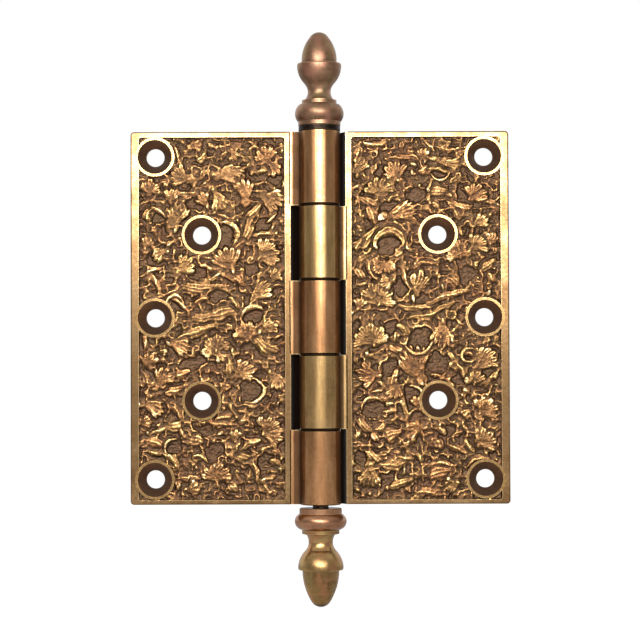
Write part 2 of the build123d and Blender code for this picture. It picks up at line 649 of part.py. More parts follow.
with BuildPart() as finial_washer:
    with BuildSketch(Plane.XY.offset(BARREL_TOP)):
        Circle(KNUCKLE_R + WASHER_EDGE)
        Circle(tapped_r, mode=Mode.SUBTRACT)
    extrude(amount=WASHER_THICK)
finial_washer.part.label = "finial_washer"
export_step(finial_washer.part, "parts/finial_washer.step")

with BuildPart() as upper_finial:
    with BuildSketch(Plane.XZ):
        with BuildLine():
            for kind, points in finial_lines(
                upper_seat, UPPER_BEAD_R, UPPER_RING_R, UPPER_RING_TOP, UPPER_NECK_R,
                UPPER_CUP_R, UPPER_CUP_RIM, UPPER_ACORN_R, UPPER_HEIGHT,
            ):
                if kind == "arc":
                    ThreePointArc(*points)
                else:
                    Line(*points)
        make_face()
    revolve(axis=Axis.Z)
    with BuildSketch(Plane.XY.offset(upper_seat)):
        Circle(tapped_r)
    extrude(amount=STUD_LENGTH, mode=Mode.SUBTRACT)
upper_finial.part.label = "upper_finial"
export_step(upper_finial.part, "parts/upper_finial.step")

with BuildPart() as lower_finial:
    with BuildSketch(Plane.XZ):
        with BuildLine():
            for kind, points in finial_lines(
                lower_seat, LOWER_BEAD_R, LOWER_RING_R, LOWER_RING_TOP, LOWER_NECK_R,
                LOWER_CUP_R, LOWER_CUP_RIM, LOWER_ACORN_R, LOWER_HEIGHT,
            ):
                if kind == "arc":
                    ThreePointArc(*[(r, -z) for r, z in points])
                else:
                    Line(*[(r, -z) for r, z in points])
        make_face()
    revolve(axis=Axis.Z)
    with BuildSketch(Plane.XY.offset(-lower_seat)):
        Circle(tapped_r)
    extrude(amount=-STUD_LENGTH, mode=Mode.SUBTRACT)
lower_finial.part.label = "lower_finial"
export_step(lower_finial.part, "parts/lower_finial.step")
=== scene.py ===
import math

import bmesh
import bpy
import numpy as np
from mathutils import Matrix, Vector
from mathutils.bvhtree import BVHTree
from mathutils.geometry import tessellate_polygon


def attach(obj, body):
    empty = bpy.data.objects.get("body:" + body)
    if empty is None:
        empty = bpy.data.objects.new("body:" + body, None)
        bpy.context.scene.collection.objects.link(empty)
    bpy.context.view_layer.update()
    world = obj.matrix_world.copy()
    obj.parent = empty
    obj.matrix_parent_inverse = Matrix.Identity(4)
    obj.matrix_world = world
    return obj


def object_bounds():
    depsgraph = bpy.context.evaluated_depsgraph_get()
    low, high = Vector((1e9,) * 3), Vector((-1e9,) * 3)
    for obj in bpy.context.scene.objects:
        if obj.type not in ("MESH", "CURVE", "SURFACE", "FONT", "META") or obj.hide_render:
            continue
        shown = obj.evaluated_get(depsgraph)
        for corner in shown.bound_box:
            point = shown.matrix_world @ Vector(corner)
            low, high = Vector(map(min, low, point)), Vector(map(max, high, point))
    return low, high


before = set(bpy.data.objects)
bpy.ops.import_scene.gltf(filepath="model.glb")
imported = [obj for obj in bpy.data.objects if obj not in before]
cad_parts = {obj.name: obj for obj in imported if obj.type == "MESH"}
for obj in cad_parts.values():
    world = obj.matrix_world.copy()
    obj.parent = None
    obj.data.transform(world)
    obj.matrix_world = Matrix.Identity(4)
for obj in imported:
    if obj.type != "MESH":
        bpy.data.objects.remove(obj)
cad_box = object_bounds()

MM = 0.001

# Sizes of the hinge, in millimetres, as the solids have them
LEAF_HEIGHT = 127.0
BARREL_R = 7.0
KNUCKLE_PITCH = 25.4
PIN_R = 3.95
FRAME_INNER_EDGE = 10.0
DOOR_INNER_EDGE = 8.9

# Where a leaf's border, its back and the ground of its carving lie along y
FACE_Y = 1.0
BACK_Y = 5.5
GROUND_Y = 2.4

# Screw holes: how far out from the pin and up from mid height, and the radii of countersinks and bosses
HOLES = ((56.2, 55.0), (56.2, 0.0), (56.2, -55.0), (40.3, 28.3), (40.3, -28.3))
SINK_R = 5.85
BOSS_R = 6.65

# The sunk field that holds the carving
FIELD_TOP = 61.7
FIELD_BOTTOM = -62.0
FIELD_OUTER = 61.7
FRAME_FIELD_INNER = 11.85
DOOR_FIELD_INNER = 10.75
FIELD_CORNER_R = 1.0

# Relief grid: cell size, and how far it runs into the border and into the bosses
CELL = 0.262
TUCK = 0.3
BOSS_TUCK = 0.42

# Heights over the ground: the relief's underside, its least cover on the solid, its top under the border
SKIRT = -0.35
COVER = 0.05
UNDER_BORDER = 1.25

# Carved forms: crevice round each, spacing of fine ribs and veins, their depths on leaves and on bands
CREVICE = 0.7
RIB_PITCH = 1.25
RIB_DEPTH = 0.36
VEIN_DEPTH = 0.2

# How far the highest forms stand out of the border
PROUD = 0.18

# Amounts and sizes of the noise that bends the forms, and of the slow turn of the small leaves
BEND_X = ((0.5, 3.4), (0.16, 1.1))
BEND_Z = ((0.5, 3.1), (0.16, 1.2))
FLOW_TURN = 240.0
FLOW_SIZE = 15.0

# Small forms between the large ones: how many are tried, their lengths, heights and scatter of direction
SCATTER_COUNT = 1800
SCATTER_LENGTH = (3.0, 6.4)
SCATTER_TOP = (0.5, 1.1)
SCATTER_TURN = 38.0

# Which kind a small form is, by a draw from 0 to 1: sprigs, then curls, and stems above both
SPRIGS_UP_TO = 0.6
CURLS_UP_TO = 0.68
SMALL_CURL_WIDTH = 1.5
SMALL_STEM_WIDTH = 2.2

# Ground between the forms: its level, and what rolling, ridges, crinkles and grain add to it
GROUND_LEVEL = 0.34
ROLLING = 0.12
RIDGES = 0.42
CRINKLES = 0.3
GRAIN = 0.08

# Open pits: how much larger than listed, their floor, the size and depth of its pebbles, and their rim
PIT_GROW = 1.2
PIT_FLOOR = 0.30
PEBBLE_SIZE = 0.85
PEBBLE_DEPTH = 0.34
PIT_RIM = 0.9

# How smooth the large forms are, from 0 to 1, and the creases of whatever isn't smooth
LARGE_SMOOTHNESS = 0.6
CREASE_CRUMPLE = 0.26
CREASE_CRINKLE = 0.2

# Banks of metal along the border and round the bosses
WALL_TOP = 1.25
COLLAR_TOP = 0.45
COLLAR_WIDTH = 0.2

# Height of the border over the ground, which the relief's material reads as 1
FULL_HEIGHT = GROUND_Y - FACE_Y

# Dark rings in the joints, standing in for their shade: steps round, how far they stand out of the barrel,
# and room round the pin
RING_STEPS = 72
RING_PROUD = 0.04
RING_ROOM = 0.15

# How bright the room is before the hinge for metal, and all round for matt surfaces
ROOM_FRONT = 0.24
ROOM_MATT = 0.36

# Soft boxes, in metres: name, place, target, width, height, brightness, roll in degrees
LAMPS = (
    ("key_lamp", (-0.05, -0.80, 0.30), (0.0, 0.0, 0.02), 1.20, 0.38, 4.2, -8.0),
    ("strip_lamp", (-0.06, -0.79, 0.18), (0.0, 0.0, 0.02), 0.52, 0.18, 12.0, -8.0),
    ("fill_lamp", (0.10, -0.82, 0.03), (0.0, 0.0, 0.0), 0.60, 0.18, 0.35, 0.0),
)

# Floor, in metres: half its width, how far it lies under the hinge, and how bright it is for camera and metal
FLOOR_HALF = 6.0
FLOOR_GAP = 0.0006
FLOOR_GREYS = ((0.62, 0.62, 0.62, 1.0), (0.66, 0.66, 0.66, 1.0))
FLOOR_FOR_CAMERA = 0.8
FLOOR_FOR_METAL = 0.2

# Camera: place and target in metres, field of view and roll in degrees, width of its sensor in millimetres
CAMERA_PLACE = (0.0, -0.66, -0.022)
CAMERA_TARGET = (0.0, 0.001, -0.0009)
CAMERA_FIELD = 18.7
CAMERA_ROLL = -0.2
SENSOR = 36.0

# Sprigs of the carving: base x, base z, direction, length, lobes, spread
FRAME_SPRIGS = [
    (-58.0, 42.4, 90, 5.2, 3, 90),
    (-44.9, 47.3, 165, 6.4, 5, 80),
    (-35.4, 48.4, 12, 9.2, 6, 60),
    (-25.4, 39.4, 90, 8.0, 5, 56),
    (-17.6, 53.8, 110, 5.2, 5, 130),
    (-17.0, 52.4, -35, 4.8, 3, 60),
    (-20.4, 42.0, -25, 8.4, 6, 66),
    (-35.8, 43.4, -62, 7.2, 5, 54),
    (-20.2, 20.4, 30, 7.0, 6, 130),
    (-30.1, 16.0, 110, 8.2, 6, 84),
    (-48.5, 15.7, 35, 6.6, 5, 74),
    (-52.3, 23.2, 200, 5.4, 4, 56),
    (-49.6, 30.8, 85, 8.2, 6, 64),
    (-51.3, 39.9, 75, 4.4, 3, 70),
    (-38.6, 38.2, 115, 5.0, 4, 66),
    (-44.7, 58.5, 15, 4.8, 4, 56),
    (-23.6, 5.8, 42, 8.4, 5, 52),
    (-24.9, -7.3, 100, 6.0, 5, 120),
    (-19.8, -5.0, 40, 5.6, 4, 66),
    (-51.2, -8.3, -22, 7.4, 5, 54),
    (-35.2, -11.4, 110, 5.6, 4, 160),
    (-35.2, -11.4, -60, 4.4, 3, 50),
    (-28.9, -20.3, 40, 7.2, 5, 72),
    (-58.3, -16.9, 90, 5.4, 4, 84),
    (-54.8, -22.9, 65, 6.2, 5, 78),
    (-33.6, -25.4, 65, 4.6, 4, 66),
    (-60.9, -28.7, -20, 7.8, 5, 46),
    (-18.9, -39.6, 30, 6.6, 6, 150),
    (-35.4, -55.2, 92, 5.8, 6, 150),
    (-16.2, -18.7, -60, 6.3, 4, 60),
    (-29.4, -41.9, 80, 3.8, 3, 60),
    (-61.2, -36.0, 15, 4.2, 4, 66),
    (-45.3, -58.8, 20, 4.8, 4, 66),
    (-56.4, -53.0, 62, 3.6, 3, 70),
    (-30.4, 57.4, -60, 4.4, 4, 60),
    (-59.6, 23.6, 80, 4.2, 4, 70),
    (-16.4, 12.6, 60, 4.4, 4, 80),
]

# Stems and single leaves: from x, z to x, z, bow to the left of travel, width
FRAME_STEMS = [
    (-41.5, 53.2, -38.1, 57.5, 0.4, 2.8),
    (-19.5, 40.1, -25.9, 28.2, -0.8, 2.4),
    (-23.3, 34.2, -27.5, 23.2, 0.6, 2.6),
    (-25.4, 27.4, -30.9, 15.1, -1.2, 2.2),
    (-28.8, 16.4, -38.6, 12.1, -0.8, 1.8),
    (-23.3, 27.8, -14.8, 28.2, 0.6, 1.8),
    (-34.3, 15.1, -25.0, 10.4, 1.2, 2.2),
    (-47.9, 10.9, -36.0, 11.3, -1.2, 3.6),
    (-53.4, 7.9, -47.4, 10.9, -0.6, 1.4),
    (-59.7, 14.7, -53.4, 17.2, 0.4, 1.8),
    (-57.6, 15.1, -54.2, 8.7, 0.5, 1.4),
    (-52.5, 23.2, -48.7, 27.4, 0.3, 1.6),
    (-58.0, 32.5, -58.4, 37.6, 1.0, 1.8),
    (-58.4, 37.6, -52.1, 33.3, 1.6, 1.5),
    (-36.6, 35.2, -33.8, 36.8, 0.4, 1.8),
    (-35.2, 35.4, -28.8, 27.4, 2.4, 1.5),
    (-44.5, 43.5, -36.9, 36.3, 1.0, 1.6),
    (-33.5, 55.3, -28.8, 57.9, 0.3, 1.8),
    (-49.6, 59.1, -49.1, 51.1, 1.2, 1.4),
    (-44.5, -0.1, -27.5, 4.1, -1.4, 3.4),
    (-31.4, 7.1, -27.5, 2.4, 0.5, 1.8),
    (-52.1, 7.1, -44.5, -0.9, 2.2, 1.5),
    (-21.6, 49.4, -17.0, 50.6, 0.5, 1.4),
    (-50.5, -8.7, -32.7, -2.1, 0.8, 2.2),
    (-32.7, -2.1, -24.5, -7.1, 0.8, 1.8),
    (-22.8, -6.7, -13.7, -11.2, -0.8, 3.2),
    (-31.1, -8.7, -29.0, -14.9, 0.6, 1.5),
    (-31.9, -13.7, -30.2, -23.6, 0.5, 2.4),
    (-19.5, -14.1, -19.5, -27.3, 2.8, 1.6),
    (-19.5, -27.3, -28.6, -29.4, 1.6, 1.8),
    (-53.8, -22.3, -57.9, -24.8, 0.4, 1.4),
    (-49.6, -20.7, -44.3, -17.8, 0.3, 2.2),
    (-52.9, -26.1, -46.7, -23.6, 0.4, 2.2),
    (-50.9, -29.8, -47.2, -35.5, 0.8, 1.6),
    (-47.2, -35.5, -52.5, -38.0, 0.4, 2.4),
    (-52.5, -37.6, -58.3, -40.1, -0.4, 1.4),
    (-59.9, -41.7, -52.1, -43.8, 0.3, 2.6),
    (-58.3, -45.9, -53.8, -46.7, 0.2, 1.4),
    (-48.0, -37.2, -44.7, -41.7, -0.6, 1.4),
    (-45.1, -41.5, -39.3, -42.1, 0.4, 2.9),
    (-31.1, -28.9, -26.9, -35.5, -0.5, 1.8),
    (-28.2, -31.0, -24.1, -33.5, 0.3, 1.6),
    (-36.0, -35.0, -29.0, -32.9, 0.3, 1.6),
    (-36.4, -37.0, -28.6, -36.4, 0.4, 1.8),
    (-28.6, -36.4, -24.1, -33.9, 0.2, 1.5),
    (-20.3, -41.3, -28.6, -46.7, -0.8, 1.8),
    (-28.6, -46.7, -23.6, -47.9, -0.4, 2.6),
    (-24.1, -48.3, -21.6, -56.2, 0.8, 1.8),
    (-47.6, -54.5, -39.7, -54.1, -0.4, 2.0),
    (-31.5, -56.6, -27.8, -59.5, 0.3, 2.0),
    (-53.8, -45.9, -48.0, -52.0, 1.0, 1.5),
    (-17.5, -48.3, -13.3, -50.4, 0.2, 2.0),
    (-17.9, -42.6, -13.3, -46.7, 0.3, 2.4),
    (-20.8, -56.2, -15.0, -54.1, 0.4, 1.6),
    (-44.2, -47.6, -37.6, -49.4, 1.0, 1.5),
    (-42.6, 4.6, -37.4, 6.8, 0.5, 1.6),
    (-18.4, 32.6, -14.6, 37.2, -1.0, 1.4),
    (-59.6, -6.2, -60.4, -12.4, 0.8, 1.5),
]

DOOR_SPRIGS = [
    (12.6, 49.2, 65, 6.0, 5, 64),
    (27.0, 47.5, 115, 6.0, 5, 108),
    (35.5, 53.9, 95, 4.4, 4, 76),
    (39.3, 53.6, -8, 9.0, 5, 30),
    (20.2, 42.0, 95, 5.8, 6, 140),
    (22.2, 33.5, 25, 11.4, 6, 38),
    (52.0, 40.3, 60, 5.8, 5, 116),
    (52.7, 31.4, 30, 5.2, 4, 66),
    (21.9, 18.5, 250, 4.6, 4, 180),
    (19.4, 4.6, 84, 7.0, 6, 170),
    (32.5, 6.7, 78, 9.4, 3, 36),
    (48.4, 20.8, 110, 5.8, 5, 156),
    (52.2, 23.0, 55, 5.8, 5, 96),
    (17.6, -9.0, 96, 6.8, 6, 160),
    (41.7, -1.7, 270, 8.2, 6, 66),
    (34.7, -21.5, 118, 11.4, 7, 66),
    (53.4, -17.6, 52, 8.0, 6, 80),
    (52.8, -22.5, 90, 4.2, 4, 126),
    (19.6, -19.5, 185, 7.0, 4, 76),
    (26.1, -22.4, 259, 6.0, 4, 70),
    (35.1, -37.2, 195, 7.0, 5, 60),
    (16.9, -50.8, 268, 6.8, 7, 80),
    (54.3, -43.6, 42, 6.0, 5, 116),
    (55.0, -33.1, 50, 6.0, 5, 126),
    (44.8, 59.4, 190, 4.6, 4, 60),
    (58.4, 24.8, 80, 4.4, 4, 70),
    (13.2, 3.0, 80, 4.0, 4, 80),
    (33.4, -30.8, 90, 3.8, 4, 90),
    (46.6, -56.6, 200, 4.6, 4, 80),
    (24.8, 12.6, 200, 4.4, 4, 80),
]

DOOR_STEMS = [
    (13.0, 58.3, 13.5, 52.8, -0.5, 1.5),
    (27.0, 55.3, 35.9, 54.1, 0.6, 2.4),
    (36.8, 52.4, 33.8, 49.4, 0.3, 2.0),
    (30.8, 51.5, 33.8, 49.0, -1.2, 1.4),
    (14.5, 59.6, 23.6, 60.0, -0.5, 1.6),
    (36.8, 50.7, 44.4, 48.6, 1.6, 1.5),
    (37.8, 42.4, 43.7, 43.1, 0.6, 3.6),
    (43.5, 42.2, 46.1, 38.4, 0.6, 1.4),
    (13.0, 40.5, 19.8, 38.0, 0.8, 2.8),
    (16.4, 37.6, 19.4, 31.6, 0.6, 2.4),
    (24.5, 44.3, 19.4, 40.1, 0.3, 1.4),
    (23.6, 39.2, 27.4, 41.8, 1.2, 1.5),
    (38.0, 38.4, 41.4, 37.6, 0.6, 2.4),
    (43.5, 39.2, 52.9, 38.4, -1.4, 2.8),
    (45.2, 36.4, 48.4, 33.2, 0.3, 2.0),
    (14.7, 22.7, 20.2, 31.6, 1.2, 2.8),
    (19.4, 30.8, 27.4, 31.6, 1.2, 2.2),
    (27.0, 31.6, 29.1, 23.2, 1.2, 1.6),
    (28.7, 23.2, 23.6, 19.8, 1.2, 2.0),
    (12.2, 21.9, 14.8, 27.6, 0.4, 1.8),
    (15.6, 19.8, 22.8, 10.0, -1.2, 1.6),
    (12.2, 16.8, 15.6, 12.1, 0.3, 2.4),
    (12.6, 11.7, 18.1, 11.3, 0.3, 1.6),
    (28.3, 16.8, 31.7, 9.2, -0.6, 1.8),
    (43.1, 13.0, 47.6, 10.9, 0.5, 3.4),
    (55.0, 15.5, 59.8, 20.2, 0.3, 2.6),
    (56.7, 15.1, 60.0, 12.1, 0.3, 1.6),
    (26.2, 4.1, 41.4, 5.8, -1.8, 2.4),
    (36.3, 4.5, 52.4, 9.2, 0.8, 2.0),
    (29.6, -0.6, 46.5, 5.4, -1.0, 1.8),
    (29.1, 27.4, 32.2, 22.0, -0.6, 1.6),
    (32.9, 18.1, 39.7, 17.6, 0.5, 1.4),
    (26.4, -2.1, 30.1, -6.7, 0.5, 2.8),
    (23.5, -9.6, 32.2, -11.6, -0.8, 2.4),
    (43.7, -12.0, 48.3, -19.5, 0.6, 2.0),
    (45.0, -14.5, 50.3, -22.3, 0.8, 1.6),
    (47.9, -12.9, 53.2, -14.9, 1.4, 1.4),
    (19.0, -20.7, 21.9, -24.8, 0.3, 1.4),
    (26.8, -17.0, 21.5, -27.7, 0.4, 1.8),
    (21.9, -24.4, 16.5, -26.1, 0.3, 1.4),
    (28.5, -22.3, 30.1, -33.9, -1.4, 1.5),
    (21.9, -29.8, 26.4, -29.4, 0.3, 1.6),
    (22.7, -32.7, 26.4, -30.6, 0.2, 1.6),
    (13.6, -30.6, 21.9, -27.3, 2.0, 1.4),
    (12.8, -34.7, 18.6, -38.8, -0.8, 2.8),
    (18.6, -38.8, 21.9, -35.5, -0.6, 2.0),
    (22.3, -42.1, 27.6, -38.4, 0.6, 3.6),
    (28.5, -43.0, 32.6, -40.9, 0.2, 2.2),
    (12.2, -42.1, 13.4, -38.8, 0.2, 1.5),
    (16.1, -45.9, 21.0, -50.0, -0.4, 2.8),
    (19.0, -50.8, 33.0, -46.3, -1.4, 2.2),
    (25.6, -47.9, 32.2, -48.3, 0.3, 1.5),
    (33.0, -45.9, 35.1, -49.6, 0.3, 1.6),
    (23.5, -58.2, 31.8, -54.9, 0.4, 2.4),
    (37.1, -54.9, 45.4, -51.6, 0.6, 4.0),
    (38.0, -50.0, 47.0, -50.8, 0.8, 1.4),
    (42.9, -44.2, 51.2, -46.7, 0.5, 1.8),
    (48.7, -41.7, 52.6, -47.0, 0.3, 1.5),
    (48.7, -34.3, 51.0, -31.4, 0.3, 2.6),
    (52.4, -32.2, 55.7, -36.0, 0.3, 2.4),
    (48.0, -25.6, 51.2, -24.0, 0.2, 1.6),
    (38.8, -42.1, 42.1, -45.0, 0.3, 2.2),
    (32.2, -59.6, 40.4, -58.9, 0.2, 1.8),
    (49.8, -51.2, 58.4, -48.0, 1.6, 1.4),
    (39.2, -38.0, 42.9, -40.5, 0.3, 1.6),
]

# Open pits with a pebbled floor: x, z, half length, half width, direction of the length
FRAME_PITS = [
    (-32.2, 28.2, 4.2, 2.4, 80),
    (-41.9, 39.2, 3.6, 2.2, 30),
    (-15.3, 47.7, 3.0, 1.9, 80),
    (-19.1, 31.6, 2.6, 1.8, 20),
    (-54.2, 34.6, 2.8, 2.0, 70),
    (-41.9, 15.1, 2.8, 2.0, 10),
    (-49.6, 4.1, 3.4, 1.7, 60),
    (-34.3, 7.1, 3.0, 1.9, 10),
    (-23.3, 16.8, 2.6, 2.0, 40),
    (-23.6, -24.4, 4.0, 3.0, 60),
    (-42.6, -15.3, 4.4, 2.4, 20),
    (-50.0, -44.2, 3.0, 2.0, 40),
    (-36.0, -45.4, 3.0, 2.0, 10),
    (-18.7, -48.3, 2.8, 1.9, 30),
    (-39.3, -38.8, 2.6, 1.6, 20),
    (-22.9, 0.3, 3.4, 2.4, 50),
    (-36.5, -6.6, 3.2, 1.5, 20),
    (-25.2, 46.3, 3.0, 1.6, 20),
    (-57.6, 20.4, 2.2, 1.6, 60),
    (-54.5, -33.0, 2.8, 1.6, 20),
]
DOOR_PITS = [
    (21.1, 49.4, 2.8, 1.8, 40),
    (16.4, 43.1, 2.6, 1.7, 60),
    (41.4, 49.8, 3.0, 1.8, 10),
    (48.6, 43.1, 2.6, 2.0, 60),
    (23.2, 37.6, 2.4, 1.6, 20),
    (23.6, 24.8, 3.6, 3.0, 50),
    (32.9, 41.8, 2.8, 2.0, 20),
    (49.5, 14.7, 3.0, 2.0, 40),
    (27.9, 10.4, 2.6, 2.0, 80),
    (20.2, 13.4, 2.4, 1.8, 60),
    (33.8, -7.5, 4.4, 3.2, 40),
    (23.1, -17.4, 2.8, 2.0, 60),
    (40.0, -15.7, 3.8, 3.0, 70),
    (46.6, -21.1, 2.4, 1.6, 60),
    (17.7, -31.0, 3.4, 2.4, 30),
    (30.9, -27.7, 4.2, 2.1, 80),
    (42.9, -39.3, 3.0, 2.0, 30),
    (50.8, -13.3, 2.4, 1.8, 20),
    (56.1, -18.6, 2.2, 1.6, 60),
    (54.0, -33.5, 2.0, 1.4, 40),
    (21.9, -54.9, 3.0, 1.8, 20),
    (13.2, -48.3, 2.4, 1.6, 80),
    (24.0, -3.6, 3.0, 2.2, 70),
]

# Ribbed bands that curl round a pit: x, z, radius, start, sweep, width
FRAME_CURLS = [
    (-32.2, 28.4, 4.6, 300, 170, 2.2),
    (-49.6, 4.3, 3.4, 20, 190, 1.6),
    (-22.9, 0.3, 4.2, 30, 150, 2.0),
    (-23.6, -24.4, 4.6, 240, 200, 1.8),
    (-50.0, -44.2, 3.2, 60, 170, 1.5),
]
DOOR_CURLS = [
    (23.6, 24.8, 5.2, 350, 215, 3.8),
    (50.8, -13.3, 2.6, 20, 300, 1.3),
    (33.8, -7.5, 5.0, 200, 150, 1.8),
    (17.7, -31.0, 4.0, 30, 160, 1.6),
    (30.9, -27.7, 4.4, 320, 140, 1.6),
    (41.4, 49.8, 3.2, 190, 160, 1.4),
]


def soft_noise(rng, x, z, size):
    """Smooth noise from -1 to 1 over a plane, with bumps of the given size."""
    gx = (x - x.min()) / size + 1.0
    gz = (z - z.min()) / size + 1.0
    lattice = rng.uniform(-1.0, 1.0, (int(gx.max()) + 3, int(gz.max()) + 3))
    ix = gx.astype(int)
    iz = gz.astype(int)
    fx = gx - ix
    fz = gz - iz
    fx = fx * fx * (3.0 - 2.0 * fx)
    fz = fz * fz * (3.0 - 2.0 * fz)
    low = lattice[ix, iz] * (1.0 - fx) + lattice[ix + 1, iz] * fx
    high = lattice[ix, iz + 1] * (1.0 - fx) + lattice[ix + 1, iz + 1] * fx
    return low * (1.0 - fz) + high * fz


def pebbles(rng, x, z, size):
    """Distance to the nearest of scattered points, as a share of their spacing."""
    gx = (x - x.min()) / size + 1.0
    gz = (z - z.min()) / size + 1.0
    shape = (int(gx.max()) + 4, int(gz.max()) + 4)
    jx = rng.uniform(0.1, 0.9, shape)
    jz = rng.uniform(0.1, 0.9, shape)
    ix = gx.astype(int)
    iz = gz.astype(int)
    nearest = np.full(x.shape, 9.0)
    for dx in (-1, 0, 1):
        for dz in (-1, 0, 1):
            cx = ix + dx
            cz = iz + dz
            away = np.hypot(cx + jx[cx, cz] - gx, cz + jz[cx, cz] - gz)
            nearest = np.minimum(nearest, away)
    return nearest


def blur(h, passes):
    """A field smoothed by repeated averaging with its neighbours."""
    for _ in range(passes):
        p = np.pad(h, 1, mode="edge")
        h = (p[:-2, 1:-1] + 2.0 * p[1:-1, 1:-1] + p[2:, 1:-1]) / 4.0
        p = np.pad(h, 1, mode="edge")
        h = (p[1:-1, :-2] + 2.0 * p[1:-1, 1:-1] + p[1:-1, 2:]) / 4.0
    return h


def spread_max(h):
    """The highest of each point and its eight neighbours."""
    p = np.pad(h, 1, mode="edge")
    rows = np.maximum(np.maximum(p[:-2], p[1:-1]), p[2:])
    return np.maximum(np.maximum(rows[:, :-2], rows[:, 1:-1]), rows[:, 2:])


def crown(across, half):
    """The rounded section of a band: 1 along its middle, 0 from its edges outward."""
    return np.clip(1.0 - (across / np.maximum(half, 0.05)) ** 2, 0.0, 1.0) ** 0.4


def closed_loops(followers):
    """The rim of a mesh as loops of points, from the list of points that follow each point."""
    loops = []
    while followers:
        at = next(iter(followers))
        loop = []
        while at in followers:
            loop.append(at)
            after = followers[at].pop()
            if not followers[at]:
                del followers[at]
            at = after
        loops.append(loop)
    return loops


def add_object(name, data):
    """Puts a mesh, a lamp or a camera into the scene."""
    thing = bpy.data.objects.new(name, data)
    bpy.context.scene.collection.objects.link(thing)
    return thing


